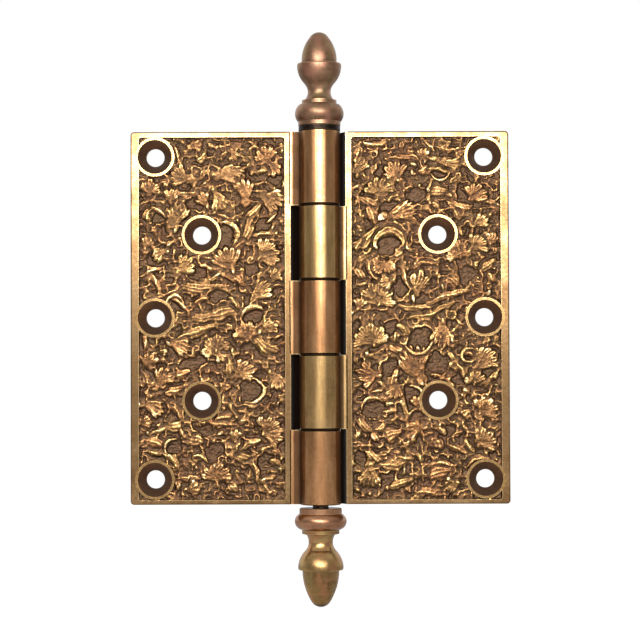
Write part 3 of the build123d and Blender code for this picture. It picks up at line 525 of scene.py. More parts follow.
class Relief:
    """The carved field of one leaf as a height field over x and z, in millimetres above the ground."""

    def __init__(self, leaf, x_low, x_high, seed):
        self.rng = np.random.default_rng(seed)
        xs = np.arange(x_low - TUCK, x_high + TUCK + CELL / 2, CELL)
        zs = np.arange(FIELD_BOTTOM - TUCK, FIELD_TOP + TUCK + CELL / 2, CELL)
        self.x, self.z = np.meshgrid(xs, zs, indexing="ij")
        from_side = np.minimum(self.x - x_low, x_high - self.x)
        from_end = np.minimum(self.z - FIELD_BOTTOM, FIELD_TOP - self.z)
        short_x = np.clip(FIELD_CORNER_R - from_side, 0.0, None)
        short_z = np.clip(FIELD_CORNER_R - from_end, 0.0, None)
        round_corner = FIELD_CORNER_R - np.hypot(short_x, short_z)
        in_corner = (short_x > 0.0) & (short_z > 0.0)
        self.edge = np.where(in_corner, round_corner, np.minimum(from_side, from_end))
        self.boss = np.full(self.x.shape, 99.0)
        side = 1.0 if x_low > 0 else -1.0
        for hole_x, hole_z in HOLES:
            away = np.hypot(self.x - side * hole_x, self.z - hole_z)
            self.boss = np.minimum(self.boss, away)
        self.wx = self.bent(self.x, BEND_X)
        self.wz = self.bent(self.z, BEND_Z)
        self.flow = FLOW_TURN * self.noise(FLOW_SIZE)
        self.carved = np.zeros(self.x.shape)
        self.tone = np.zeros(self.x.shape)
        self.smooth = np.zeros(self.x.shape)
        self.smoothness = 0.0
        self.solid = self.read_solid(leaf)

    def noise(self, size):
        """Smooth noise over the field, from the next random draws."""
        return soft_noise(self.rng, self.x, self.z, size)

    def bent_noise(self, size):
        """Smooth noise that bends with the forms."""
        return soft_noise(self.rng, self.wx, self.wz, size)

    def bent(self, values, bends):
        """A coordinate with noise added, so that no form laid on it comes out plain."""
        for amount, size in bends:
            values = values + amount * self.noise(size)
        return values

    def read_solid(self, leaf):
        """Height of the solid leaf under each point, so that the relief lies on its carving."""
        tree = BVHTree.FromPolygons(
            [v.co for v in leaf.data.vertices], [tuple(p.vertices) for p in leaf.data.polygons]
        )
        toward = Vector((0.0, 1.0, 0.0))
        heights = []
        for x, z in zip(self.x.ravel() * MM, self.z.ravel() * MM):
            hit = tree.ray_cast(Vector((x, -0.02, z)), toward)[0]
            heights.append(GROUND_Y - hit.y / MM if hit else 0.0)
        solid = np.array(heights).reshape(self.x.shape)
        inside = (self.edge > 0.05) & (self.boss > BOSS_R + 0.05)
        return np.where(inside, solid, 0.0)

    def window(self, x, z, reach):
        """Grid slices round one place."""
        i = np.searchsorted(self.x[:, 0], [x - reach, x + reach])
        j = np.searchsorted(self.z[0], [z - reach, z + reach])
        return slice(i[0], i[1]), slice(j[0], j[1])

    def lay(self, area, inside, height, tone):
        """Lays a form over what is there. Inside is how far in from the form's edge each point lies."""
        was = self.carved[area]
        crevice = np.clip(1.0 + inside / CREVICE, 0.0, 1.0) ** 1.5
        beside = was * (1.0 - 0.5 * crevice)
        self.carved[area] = np.where(inside > 0.0, np.maximum(height, 0.6 * was), beside)
        self.tone[area] = np.where(inside > 0.0, tone, self.tone[area])
        self.smooth[area] = np.where(inside > 0.0, self.smoothness, self.smooth[area])

    def sprig(self, x, z, direction, length, lobes, spread, top=1.34, tilt=0.2):
        """A ruffled leaf that fans out from its base: scalloped edge, fine ribs and one side lifted."""
        area = self.window(x, z, 1.35 * length)
        px = self.wx[area] - x
        pz = self.wz[area] - z
        rho = np.hypot(px, pz)
        step = spread / (lobes - 1)
        half_spread = spread / 2 + 0.7 * step
        bend = self.rng.uniform(-9.0, 9.0)
        heading = np.degrees(np.arctan2(pz, px)) - direction - bend * rho / length
        turn = (heading + 180.0) % 360.0 - 180.0
        phase = turn / step + (lobes - 1) / 2
        scallop = 0.5 + 0.5 * np.cos(2.0 * math.pi * phase)
        share = np.clip(np.abs(turn) / spread, 0.0, 0.6)
        reach = length * (1.14 - 0.3 * share) * (1.0 - 0.13 * (1.0 - scallop) ** 1.5)
        beside = rho * np.sin(np.radians(np.clip(half_spread - np.abs(turn), -90.0, 90.0)))
        inside = np.maximum(np.minimum(reach - rho, beside + 0.15), 0.18 * length + 0.45 - rho)
        along = np.clip(rho / reach, 0.0, 1.0)
        lift = 1.0 + self.rng.uniform(-tilt, tilt) * turn / half_spread
        lift -= self.rng.uniform(0.0, 1.2) * tilt * np.exp(-((turn / (0.4 * half_spread)) ** 2))
        rounded = 0.35 + 0.65 * np.clip(inside / 0.9, 0.0, 1.0) ** 0.6
        fine = max(1, round(length * math.radians(step) / RIB_PITCH))
        ribs = 0.5 - 0.5 * np.cos(2.0 * math.pi * (fine * phase + 0.5 * along))
        groove = (1.0 - scallop) ** 3 * 0.16 * along ** 2
        height = (top * lift * (0.6 + 0.5 * along) - RIB_DEPTH * ribs * along - groove) * rounded
        self.lay(area, inside, height, self.rng.uniform(-1.0, 1.0))

    def curl(self, x, z, radius, start, sweep, width, top=1.3):
        """A ribbed band that curls round a centre and narrows at both ends."""
        area = self.window(x, z, radius + width)
        px = self.wx[area] - x
        pz = self.wz[area] - z
        along = np.clip((np.degrees(np.arctan2(pz, px)) - start) % 360.0 / sweep, 0.0, 1.0)
        across = np.hypot(px, pz) - radius * (1.0 - 0.12 * along)
        half = 0.5 * width * np.sin(math.pi * along) ** 0.5
        inside = np.where(along < 1.0, half - np.abs(across), -9.0)
        veins = 0.5 + 0.5 * np.cos(2.0 * math.pi * across / RIB_PITCH)
        height = (top - VEIN_DEPTH * veins) * crown(across, half)
        self.lay(area, inside, height, self.rng.uniform(-1.0, 1.0))

    def stem(self, x0, z0, x1, z1, bow, width, top=1.2):
        """A bowed leaf or stem, pointed at both ends, with fine lines that wind along it."""
        length = math.hypot(x1 - x0, z1 - z0)
        ux = (x1 - x0) / length
        uz = (z1 - z0) / length
        area = self.window((x0 + x1) / 2, (z0 + z1) / 2, 0.6 * length + width + abs(bow))
        px = self.wx[area] - x0
        pz = self.wz[area] - z0
        raw = (px * ux + pz * uz) / length
        along = np.clip(raw, 0.0, 1.0)
        across = -px * uz + pz * ux - bow * np.sin(math.pi * along)
        belly = np.sin(math.pi * along ** 0.85) ** 0.55
        half = 0.85 * width * belly
        inside = np.where((raw > 0.0) & (raw < 1.0), half - np.abs(across), -9.0)
        veins = 0.5 + 0.5 * np.cos(2.0 * math.pi * (across / RIB_PITCH + 1.2 * along))
        height = (top - VEIN_DEPTH * veins) * crown(across, half) * (0.7 + 0.3 * belly)
        self.lay(area, inside, height, self.rng.uniform(-1.0, 1.0))

    def pit_depth(self, pits):
        """How far inside an open pit each point lies: 1 at its middle, 0 on its rim, below 0 outside."""
        ragged_x = self.wx + 0.9 * self.noise(2.6)
        ragged_z = self.wz + 0.9 * self.noise(2.4)
        depth = np.full(self.x.shape, -9.0)
        for x, z, half_length, half_width, direction in pits:
            turn = math.radians(direction)
            px = ragged_x - x
            pz = ragged_z - z
            along = (px * math.cos(turn) + pz * math.sin(turn)) / (PIT_GROW * half_length)
            across = (pz * math.cos(turn) - px * math.sin(turn)) / (PIT_GROW * half_width)
            depth = np.maximum(depth, 1.0 - np.hypot(along, across))
        return depth

    def scatter(self, pits):
        """Small leaves, stems and curls that follow the flow of the ground, clear of the pits."""
        for _ in range(SCATTER_COUNT):
            x = self.rng.uniform(self.x.min() + 0.5, self.x.max() - 0.5)
            z = self.rng.uniform(self.z.min() + 0.5, self.z.max() - 0.5)
            i = np.searchsorted(self.x[:, 0], x)
            j = np.searchsorted(self.z[0], z)
            turn = self.flow[i, j] + self.rng.normal(0.0, SCATTER_TURN)
            length = self.rng.uniform(*SCATTER_LENGTH)
            kind = self.rng.uniform(0.0, 1.0)
            top = self.rng.uniform(*SCATTER_TOP)
            lobes = int(self.rng.integers(3, 7))
            if pits[i, j] > -0.15:
                continue
            if kind < SPRIGS_UP_TO:
                self.sprig(x, z, turn, length, lobes, 20.0 * lobes * (0.5 + kind), top, 0.5)
            elif kind < CURLS_UP_TO:
                self.curl(x, z, 0.4 * length, turn, 150.0 + 150.0 * kind, SMALL_CURL_WIDTH, top)
            else:
                dx = math.cos(math.radians(turn)) * 0.65 * length
                dz = math.sin(math.radians(turn)) * 0.65 * length
                bow = (kind - 0.84) * 6.0
                self.stem(x - dx, z - dz, x + dx, z + dz, bow, SMALL_STEM_WIDTH, top)

    def sink_pits(self, pits):
        """Opens the pits in what has been laid so far. The larger forms come after, and are smoother."""
        self.carved *= 1.0 - np.clip(pits * 7.0 + 0.3, 0.0, 1.0)
        self.smoothness = LARGE_SMOOTHNESS

    def finish(self, pits):
        """Ground, pit floors, edges and fine grain, above the solid everywhere."""
        rolling = self.noise(2.2)
        crinkle = 1.0 - 2.0 * np.abs(self.bent_noise(1.5))
        crumple = self.bent_noise(1.8)
        fine = self.noise(0.8)
        broken = self.noise(3.4)
        stones = pebbles(self.rng, self.x, self.z, PEBBLE_SIZE)
        ridge = 1.0 - 2.0 * np.abs(self.bent_noise(2.9))
        in_pit = np.clip(pits * 6.0, 0.0, 1.0)
        ground = GROUND_LEVEL + ROLLING * rolling + RIDGES * ridge + CRINKLES * crinkle + GRAIN * fine
        ground *= 1.0 - in_pit
        ground += (PIT_FLOOR - PEBBLE_DEPTH * np.clip(stones, 0.0, 0.9)) * in_pit
        rim = PIT_RIM * np.exp(-(((pits + 0.1) / 0.12) ** 2)) * np.clip(0.1 + 1.6 * broken, 0.0, 1.0)
        creased = CREASE_CRUMPLE * crumple + CREASE_CRINKLE * crinkle + GRAIN * fine
        creased *= 1.0 - self.smooth
        formed = self.carved + creased * np.clip(2.0 * self.carved, 0.0, 1.0)
        raw = np.maximum(np.maximum(ground, formed), rim)
        h = 0.4 * raw + 0.6 * blur(raw, 1)
        wall = WALL_TOP * np.exp(-np.clip(self.edge, 0.0, None) / (0.34 + 0.22 * broken))
        collar = COLLAR_TOP * np.exp(-np.clip(self.boss - BOSS_R, 0.0, None) / COLLAR_WIDTH)
        h = np.maximum(h, np.maximum(wall, collar))
        h = np.maximum(h, spread_max(self.solid) + COVER)
        middle = np.clip(np.minimum(self.edge, self.boss - BOSS_R) / 1.5, 0.0, 1.0)
        top = np.where(self.edge > 0.0, FULL_HEIGHT + PROUD * middle, UNDER_BORDER)
        self.h = np.clip(h, COVER, top)
        sharp = np.clip((self.h - blur(self.h, 6)) / 0.15, -1.0, 1.0)
        broad = np.clip((self.h - blur(self.h, 40)) / 0.4, -1.0, 1.0)
        self.rub = 0.5 * sharp + 0.5 * broad

    def mesh(self, name):
        """A closed mesh: the relief on top, a skirt down into the solid and a flat underside."""
        nx, nz = self.x.shape
        boss = self.boss
        from_boss = 0.25 * (boss[:-1, :-1] + boss[1:, :-1] + boss[:-1, 1:] + boss[1:, 1:])
        keep = from_boss > BOSS_R - BOSS_TUCK
        index = np.arange(nx * nz).reshape(nx, nz)
        a = index[:-1, :-1][keep]
        b = index[1:, :-1][keep]
        c = index[1:, 1:][keep]
        d = index[:-1, 1:][keep]
        quads = np.stack([a, b, c, d], axis=1)
        sides = np.concatenate([quads[:, [0, 1]], quads[:, [1, 2]], quads[:, [2, 3]], quads[:, [3, 0]]])
        known = set(map(tuple, sides.tolist()))
        rim = [(p, q) for p, q in known if (q, p) not in known]
        points = np.stack([self.x.ravel(), GROUND_Y - self.h.ravel(), self.z.ravel()], axis=1)
        used = np.unique(quads)
        followers = {}
        for p, q in rim:
            followers.setdefault(p, []).append(q)
        rim_points = sorted(followers)
        lower = points[rim_points].copy()
        lower[:, 1] = GROUND_Y - SKIRT
        below = {p: len(used) + k for k, p in enumerate(rim_points)}
        compact = np.zeros(nx * nz, int)
        compact[used] = np.arange(len(used))
        faces = compact[quads].tolist()
        faces += [[int(compact[q]), int(compact[p]), below[p], below[q]] for p, q in rim]
        loops = closed_loops(followers)
        flat = [p for loop in loops for p in loop]
        shapes = [[Vector((points[p][0], points[p][2], 0.0)) for p in loop] for loop in loops]
        for tri in tessellate_polygon(shapes):
            faces.append([below[flat[k]] for k in reversed(tri)])
        co = np.concatenate([points[used], lower]) * MM
        data = bpy.data.meshes.new(name)
        data.from_pydata(co.tolist(), [], faces)
        data.polygons.foreach_set("use_smooth", [True] * len(faces))
        for label, field in (("height", self.h / FULL_HEIGHT), ("rub", self.rub), ("tone", self.tone)):
            layer = data.attributes.new(label, "FLOAT", "POINT")
            values = np.concatenate([field.ravel()[used], np.zeros(len(lower))])
            layer.data.foreach_set("value", values)
        data.validate()
        data.update()
        return add_object(name, data)


class Graph:
    """A material's node tree, with short calls for the nodes that it uses."""

    def __init__(self, name):
        self.material = bpy.data.materials.new(name)
        self.material.use_nodes = True
        self.nodes = self.material.node_tree.nodes
        self.links = self.material.node_tree.links
        self.shader = self.nodes["Principled BSDF"]

    @classmethod
    def on(cls, owner):
        """The same short calls on another node tree, such as the world's."""
        g = cls.__new__(cls)
        g.nodes = owner.node_tree.nodes
        g.links = owner.node_tree.links
        return g

    def join(self, socket, value):
        """Links a socket to another, or sets it to a plain value."""
        if isinstance(value, bpy.types.NodeSocket):
            self.links.new(value, socket)
        else:
            socket.default_value = value

    def math(self, kind, a, b=0.0):
        node = self.nodes.new("ShaderNodeMath")
        node.operation = kind
        self.join(node.inputs[0], a)
        self.join(node.inputs[1], b)
        return node.outputs[0]

    def total(self, start, *terms):
        """The start plus each term's weight times how far its value lies above its middle."""
        for value, middle, weight in terms:
            if middle:
                value = self.math("SUBTRACT", value, middle)
            start = self.math("ADD", start, self.math("MULTIPLY", value, weight))
        return start

    def spread(self, value, low, high, to_low=0.0, to_high=1.0):
        """A smooth step of a value from one range to another."""
        node = self.nodes.new("ShaderNodeMapRange")
        node.interpolation_type = "SMOOTHSTEP"
        self.join(node.inputs["Value"], value)
        node.inputs["From Min"].default_value = low
        node.inputs["From Max"].default_value = high
        node.inputs["To Min"].default_value = to_low
        node.inputs["To Max"].default_value = to_high
        return node.outputs["Result"]

    def mix(self, share, a, b, kind="MIX"):
        node = self.nodes.new("ShaderNodeMix")
        node.data_type = "RGBA"
        node.blend_type = kind
        self.join(node.inputs[0], share)
        self.join(node.inputs[6], a)
        self.join(node.inputs[7], b)
        return node.outputs[2]

    def place(self, scale=(1.0, 1.0, 1.0)):
        """The object's own coordinates, squeezed along an axis where its scale is under 1."""
        coords = self.nodes.new("ShaderNodeTexCoord")
        mapping = self.nodes.new("ShaderNodeMapping")
        mapping.inputs["Scale"].default_value = scale
        self.links.new(coords.outputs["Object"], mapping.inputs["Vector"])
        return mapping.outputs["Vector"]

    def noise(self, per_metre, detail=3.0, rough=0.55, scale=(1.0, 1.0, 1.0)):
        node = self.nodes.new("ShaderNodeTexNoise")
        node.inputs["Scale"].default_value = per_metre
        node.inputs["Detail"].default_value = detail
        node.inputs["Roughness"].default_value = rough
        self.links.new(self.place(scale), node.inputs["Vector"])
        return node.outputs["Fac"]

    def field(self, name):
        """A value that the mesh holds at each point."""
        node = self.nodes.new("ShaderNodeAttribute")
        node.attribute_name = name
        return node.outputs["Fac"]

    def ramp(self, value, *stops):
        node = self.nodes.new("ShaderNodeValToRGB")
        elements = node.color_ramp.elements
        while len(elements) < len(stops):
            elements.new(0.5)
        for element, (at, colour) in zip(elements, stops):
            element.position = at
            element.color = colour
        self.join(node.inputs["Fac"], value)
        return node.outputs["Color"]

    def axes(self):
        split = self.nodes.new("ShaderNodeSeparateXYZ")
        self.links.new(self.place(), split.inputs[0])
        return split.outputs

    def edges(self, radius):
        """How much a corner within the given radius turns the surface: 0 on flats, up to 1 on sharp edges."""
        bevel = self.nodes.new("ShaderNodeBevel")
        bevel.samples = 4
        bevel.inputs["Radius"].default_value = radius
        geometry = self.nodes.new("ShaderNodeNewGeometry")
        dot = self.nodes.new("ShaderNodeVectorMath")
        dot.operation = "DOT_PRODUCT"
        self.links.new(bevel.outputs[0], dot.inputs[0])
        self.links.new(geometry.outputs["Normal"], dot.inputs[1])
        return self.spread(dot.outputs["Value"], 0.995, 0.8)

    def hollows(self, distance):
        """How much painted shade, with some dirt, ambient occlusion puts on a place: 0 in the open, most in
        gaps and corners.
        """
        node = self.nodes.new("ShaderNodeAmbientOcclusion")
        node.samples = 8
        node.inputs["Distance"].default_value = distance
        return self.spread(node.outputs["AO"], 0.25, 0.85, HOLLOW_SHADE_AND_DIRT, 0.0)

    def bump(self, height, strength, distance):
        node = self.nodes.new("ShaderNodeBump")
        node.inputs["Strength"].default_value = strength
        node.inputs["Distance"].default_value = distance
        self.links.new(height, node.inputs["Height"])
        self.links.new(node.outputs["Normal"], self.shader.inputs["Normal"])

    def out(self, colour, roughness, metallic=1.0):
        self.join(self.shader.inputs["Base Color"], colour)
        self.join(self.shader.inputs["Roughness"], roughness)
        self.join(self.shader.inputs["Metallic"], metallic)
        return self.material


def rgb(red, green, blue):
    """A colour written from 0 to 255, as linear light."""
    return tuple(
        (c / 255 / 12.92) if c / 255 <= 0.04045 else ((c / 255 + 0.055) / 1.055) ** 2.4
        for c in (red, green, blue)
    ) + (1.0,)


# The carving, from its ground to its rubbed tops, the palest of which are a painted highlight
DARK_GROUND = rgb(76, 58, 44)
UMBER = rgb(98, 72, 48)
BRONZE = rgb(140, 104, 68)
GOLD = rgb(196, 158, 104)
PALE_GOLD_SHEEN = rgb(246, 224, 176)

# Tints that differ from leaf to leaf of the carving
ROSE_TINT = rgb(255, 232, 218)
PLAIN_TINT = rgb(255, 248, 238)
GREEN_TINT = rgb(248, 248, 224)

# Plain parts, each from dark to light
BORDER_COLOURS = (rgb(86, 61, 38), rgb(127, 97, 63), rgb(166, 134, 95))
RIM_COLOURS = (rgb(116, 86, 52), rgb(178, 142, 90))
CONE_COLOURS = (rgb(88, 68, 53), rgb(124, 98, 77))
FRAME_BARREL_COLOURS = (rgb(120, 84, 55), rgb(166, 120, 80), rgb(194, 148, 106))
DOOR_BARREL_COLOURS = (rgb(124, 94, 62), rgb(172, 138, 90), rgb(200, 166, 116))
COPPER_COLOURS = (rgb(126, 82, 62), rgb(186, 134, 106))

# Noise of small spots on the plain parts: how many a metre, detail, roughness
SPOTS = (900.0, 4.0, 0.65)

# How far the carving is rubbed to gold and paled to a painted highlight on its tops: where it starts, and the
# shares of rubbing, height, grain and patches
WEAR_SHEEN_START = 0.25
WEAR_SHEEN_RUB = 0.44
WEAR_SHEEN_HEIGHT = 0.48
WEAR_SHEEN_GRAIN = 0.4
WEAR_SHEEN_PATCH = 0.55

# Painted shade in the corner by the barrel, painted shade with some dirt in hollows, and metal rubbed bright
# on edges
HOLLOW_SHADE_AND_DIRT = 0.85
CORNER_SHADE = rgb(62, 42, 28)
LEAF_SHADE_AND_DIRT = rgb(34, 23, 16)
FINIAL_SHADE_AND_DIRT = rgb(34, 24, 16)
BRIGHT_EDGE = rgb(232, 200, 146)
STEEL_EDGE = rgb(120, 100, 78)


def relief_material():
    """Carved field: dark patina on the ground, rubbed gold on whatever stands proud, and a pale painted
    highlight on the highest.
    """
    g = Graph("carved_brass")
    height = g.field("height")
    rub = g.field("rub")
    tone = g.field("tone")
    patch = g.noise(150.0, 3.0)
    grain = g.noise(1500.0, 4.0, 0.6)
    wear_and_sheen = g.total(
        WEAR_SHEEN_START, (rub, 0.0, WEAR_SHEEN_RUB), (height, 0.55, WEAR_SHEEN_HEIGHT),
        (grain, 0.5, WEAR_SHEEN_GRAIN), (patch, 0.5, WEAR_SHEEN_PATCH),
    )
    # Rubbed gold rising to a pale cream on the highest tops, a painted highlight
    colour = g.ramp(
        wear_and_sheen, (0.1, DARK_GROUND), (0.3, UMBER), (0.52, BRONZE), (0.74, GOLD), (0.96, PALE_GOLD_SHEEN)
    )
    tint = g.ramp(g.total(0.5, (tone, 0.0, 0.5)), (0.0, ROSE_TINT), (0.5, PLAIN_TINT), (1.0, GREEN_TINT))
    colour = g.mix(g.spread(grain, 0.35, 0.65, 0.2, 1.0), colour, tint, "MULTIPLY")
    rough = g.spread(wear_and_sheen, 0.2, 0.85, 0.38, 0.15)
    crumple = g.total(g.noise(760.0, 3.0, 0.55), (g.noise(2600.0, 3.0, 0.6), 0.0, 0.35))
    g.bump(crumple, 0.75, 0.4 * MM)
    return g.out(colour, rough)


def leaf_material(name, barrel_colours, inner_edge, coped_above):
    """Plain parts of a leaf: satin borders, countersinks with bright rims, barrel, painted shade on the
    cut-back edge and in the corner by the barrel, and painted shade with some dirt in hollows.
    """
    g = Graph(name)
    x, y, z = g.axes()
    ax = g.math("ABSOLUTE", x)
    az = g.math("ABSOLUTE", z)
    nearest = None
    for hole_x, hole_z in HOLES:
        if hole_z < 0:
            continue
        dx = g.math("SUBTRACT", ax, hole_x * MM)
        dz = g.math("SUBTRACT", az, hole_z * MM)
        away = g.math("SQRT", g.math("ADD", g.math("MULTIPLY", dx, dx), g.math("MULTIPLY", dz, dz)))
        nearest = away if nearest is None else g.math("MINIMUM", nearest, away)
    patch = g.noise(120.0, 4.0)
    spots = g.noise(*SPOTS)
    streak = g.noise(420.0, 3.0, 0.6, (1.0, 1.0, 0.12))
    mottled = g.total(g.math("MULTIPLY", patch, 0.6), (spots, 0.0, 0.4))
    border = g.ramp(mottled, *zip((0.3, 0.48, 0.68), BORDER_COLOURS))
    streaked = g.total(g.math("MULTIPLY", streak, 0.5), (mottled, 0.0, 0.5))
    barrel = g.ramp(streaked, *zip((0.32, 0.5, 0.68), barrel_colours))
    on_barrel = g.spread(ax, (inner_edge + 0.1) * MM, (inner_edge - 0.3) * MM)
    colour = g.mix(on_barrel, border, barrel)
    # Painted shade in the corner where the leaf's web meets the barrel, between the barrel's side and the
    # leaf's inner edge
    in_corner = g.spread(ax, (inner_edge - 0.2) * MM, (inner_edge - 1.2) * MM)
    in_corner = g.math("MULTIPLY", in_corner, g.spread(ax, (BARREL_R - 1.8) * MM, (BARREL_R - 0.2) * MM))
    colour = g.mix(g.math("MULTIPLY", in_corner, 0.9), colour, CORNER_SHADE)
    before_back = g.spread(y, (BACK_Y - 0.05) * MM, (BACK_Y - 0.2) * MM)
    in_cone = g.math("MULTIPLY", before_back, g.spread(nearest, (SINK_R + 0.02) * MM, (SINK_R - 0.12) * MM))
    on_rim = g.math("MULTIPLY", before_back, g.spread(nearest, (BOSS_R + 0.2) * MM, BOSS_R * MM))
    colour = g.mix(on_rim, colour, g.ramp(spots, *zip((0.3, 0.7), RIM_COLOURS)))
    colour = g.mix(in_cone, colour, g.ramp(mottled, *zip((0.3, 0.7), CONE_COLOURS)))
    edge = g.edges(0.45 * MM)
    wear = g.math("MULTIPLY", edge, g.spread(spots, 0.3, 0.6, 0.3, 0.8))
    colour = g.mix(wear, colour, BRIGHT_EDGE)
    # Painted shade on the coped edge of the leaf, beside each knuckle of the other leaf
    up = g.math("ADD", z, LEAF_HEIGHT / 2 * MM)
    row = g.math("FRACT", g.math("DIVIDE", up, 2 * KNUCKLE_PITCH * MM))
    beside = g.spread(row, 0.497, 0.503) if coped_above else g.spread(row, 0.503, 0.497)
    coped = g.math("MULTIPLY", beside, g.spread(ax, (inner_edge + 0.1) * MM, (inner_edge - 0.25) * MM))
    coped = g.math("MULTIPLY", coped, g.spread(y, (FACE_Y + 0.05) * MM, (FACE_Y + 0.3) * MM))
    # Painted shade with some dirt in hollows, joined with the painted shade on the cope
    shade = g.math("MAXIMUM", g.math("MULTIPLY", coped, 0.97), g.hollows(2.2 * MM))
    colour = g.mix(shade, colour, LEAF_SHADE_AND_DIRT)
    rough = g.total(
        g.spread(mottled, 0.3, 0.7, 0.24, 0.15),
        (on_barrel, 0.0, 0.03), (in_cone, 0.0, 0.2), (coped, 0.0, 0.3), (in_corner, 0.0, 0.3),
    )
    g.bump(g.noise(700.0, 5.0, 0.6), 0.12, 0.12 * MM)
    return g.out(colour, rough)


def finial_material(name, colours, warm, green, edge_colour, copper_above, dullness):
    """Turned finials: patina in patches, fine tool rings, rubbed edges, and copper above one height."""
    g = Graph(name)
    patch = g.noise(110.0, 4.0)
    spots = g.noise(*SPOTS)
    rings = g.noise(500.0, 2.0, 0.5, (0.04, 0.04, 1.0))
    value = g.total(g.math("MULTIPLY", patch, 0.55), (rings, 0.0, 0.25), (spots, 0.0, 0.2))
    colour = g.ramp(value, *zip((0.34, 0.5, 0.66), colours))
    bloom = g.noise(190.0, 3.0, 0.6, (1.0, 1.0, 0.6))
    colour = g.mix(g.spread(bloom, 0.52, 0.62, 0.0, 0.65), colour, warm)
    colour = g.mix(g.spread(bloom, 0.46, 0.38, 0.0, 0.5), colour, green)
    z = g.axes()[2]
    coppery = g.spread(z, (copper_above - 0.3) * MM, (copper_above + 0.3) * MM, 0.0, 0.75)
    colour = g.mix(coppery, colour, g.ramp(value, *zip((0.34, 0.66), COPPER_COLOURS)))
    edge = g.math("MULTIPLY", g.edges(0.5 * MM), g.spread(spots, 0.35, 0.6, 0.3, 0.9))
    colour = g.mix(edge, colour, edge_colour)
    # Painted shade, with some dirt, in the finial's hollows and gaps
    colour = g.mix(g.hollows(2.5 * MM), colour, FINIAL_SHADE_AND_DIRT)
    g.bump(g.noise(2400.0, 2.0, 0.5, (0.03, 0.03, 1.0)), 0.1, 0.1 * MM)
    return g.out(colour, g.spread(value, 0.3, 0.7, dullness + 0.1, dullness))


def dark_steel_material(name, low, high):
    """Blackened steel of the pin and the washer, also on the dark rings that stand in for shade in the
    joints.
    """
    g = Graph(name)
    value = g.noise(800.0, 4.0, 0.6)
    colour = g.ramp(value, (0.3, low), (0.7, high))
    edge = g.math("MULTIPLY", g.edges(0.3 * MM), 0.7)
    colour = g.mix(edge, colour, STEEL_EDGE)
    g.bump(g.noise(1800.0, 2.0, 0.5, (0.1, 0.1, 1.0)), 0.15, 0.1 * MM)
    return g.out(colour, g.spread(value, 0.3, 0.7, 0.5, 0.34))


def dress(node, material):
    """Gives a solid of the frame its material."""
    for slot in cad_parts[node].material_slots:
        slot.material = material


def make_relief(name, leaf, x_low, x_high, seed, sprigs, stems, curls, pits, body, material):
    """The carving of one leaf, small forms first, then stems, sprigs and curls over them."""
    field = Relief(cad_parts[leaf], x_low, x_high, seed)
    depth = field.pit_depth(pits)
    field.scatter(depth)
    field.sink_pits(depth)
    for values in stems:
        field.stem(*values)
    for values in sprigs:
        field.sprig(*values)
    for values in curls:
        field.curl(*values)
    field.finish(depth)
    piece = field.mesh(name)
    piece.data.materials.append(material)
    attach(piece, body)


carved = relief_material()
make_relief(
    "frame_leaf_relief", "frame_leaf", -FIELD_OUTER, -FRAME_FIELD_INNER, 41,
    FRAME_SPRIGS, FRAME_STEMS, FRAME_CURLS, FRAME_PITS, "frame_side", carved,
)
make_relief(
    "door_leaf_relief", "door_leaf", DOOR_FIELD_INNER, FIELD_OUTER, 97,
    DOOR_SPRIGS, DOOR_STEMS, DOOR_CURLS, DOOR_PITS, "door_side", carved,
)

dress("frame_leaf", leaf_material("frame_brass", FRAME_BARREL_COLOURS, FRAME_INNER_EDGE, True))
dress("door_leaf", leaf_material("door_brass", DOOR_BARREL_COLOURS, DOOR_INNER_EDGE, False))
dress("upper_finial", finial_material(
    "upper_brass", (rgb(102, 76, 58), rgb(140, 107, 83), rgb(168, 134, 108)),
    warm=rgb(158, 110, 90), green=rgb(136, 120, 82), edge_colour=rgb(206, 170, 128),
    copper_above=99.0, dullness=0.31,
))
dress("lower_finial", finial_material(
    "lower_brass", (rgb(112, 84, 54), rgb(153, 121, 78), rgb(188, 154, 102)),
    warm=rgb(172, 120, 85), green=rgb(150, 135, 88), edge_colour=rgb(220, 186, 128),
    copper_above=-72.0, dullness=0.22,
))
dress("hinge_pin", dark_steel_material("pin_steel", rgb(44, 38, 32), rgb(92, 80, 66)))
# The washer's dark steel, also given to the rings that stand in for shade in the joints
dark_washer_and_joint_shade = dark_steel_material("washer_dark", rgb(24, 19, 16), rgb(50, 41, 34))
dress("finial_washer", dark_washer_and_joint_shade)


def joint_shade_ring(name, z):
    """A thin dark ring round the pin between two knuckles, put in the joint as painted shade."""
    mesh = bmesh.new()
    outer = BARREL_R + RING_PROUD
    inner = PIN_R + RING_ROOM
    section = ((inner, -0.12), (outer - 0.15, -0.15), (outer, 0.0), (outer - 0.15, 0.15), (inner, 0.12))
    rows = []
    for step in range(RING_STEPS):
        turn = 2.0 * math.pi * step / RING_STEPS
        places = [(r * math.cos(turn) * MM, r * math.sin(turn) * MM, (z + up) * MM) for r, up in section]
        rows.append([mesh.verts.new(place) for place in places])
    for step in range(RING_STEPS):
        here = rows[step]
        after = rows[(step + 1) % RING_STEPS]
        for k in range(len(section)):
            nxt = (k + 1) % len(section)
            mesh.faces.new((here[k], after[k], after[nxt], here[nxt]))
    bmesh.ops.recalc_face_normals(mesh, faces=mesh.faces)
    data = bpy.data.meshes.new(name)
    mesh.to_mesh(data)
    mesh.free()
    data.materials.append(dark_washer_and_joint_shade)
    piece = add_object(name, data)
    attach(piece, "frame_side")


# Four dark rings in the gaps between the knuckles, painted shade for the joints
for joint in range(1, 5):
    joint_shade_ring("joint_ring_%d" % joint, LEAF_HEIGHT / 2 - joint * KNUCKLE_PITCH)


def aim(thing, place, target, roll):
    """Sets a lamp or the camera at a place, facing a target and rolled by some degrees."""
    thing.location = place
    thing.rotation_euler = (Vector(target) - Vector(place)).to_track_quat("-Z", "Y").to_euler()
    thing.rotation_euler.rotate_axis("Z", math.radians(roll))


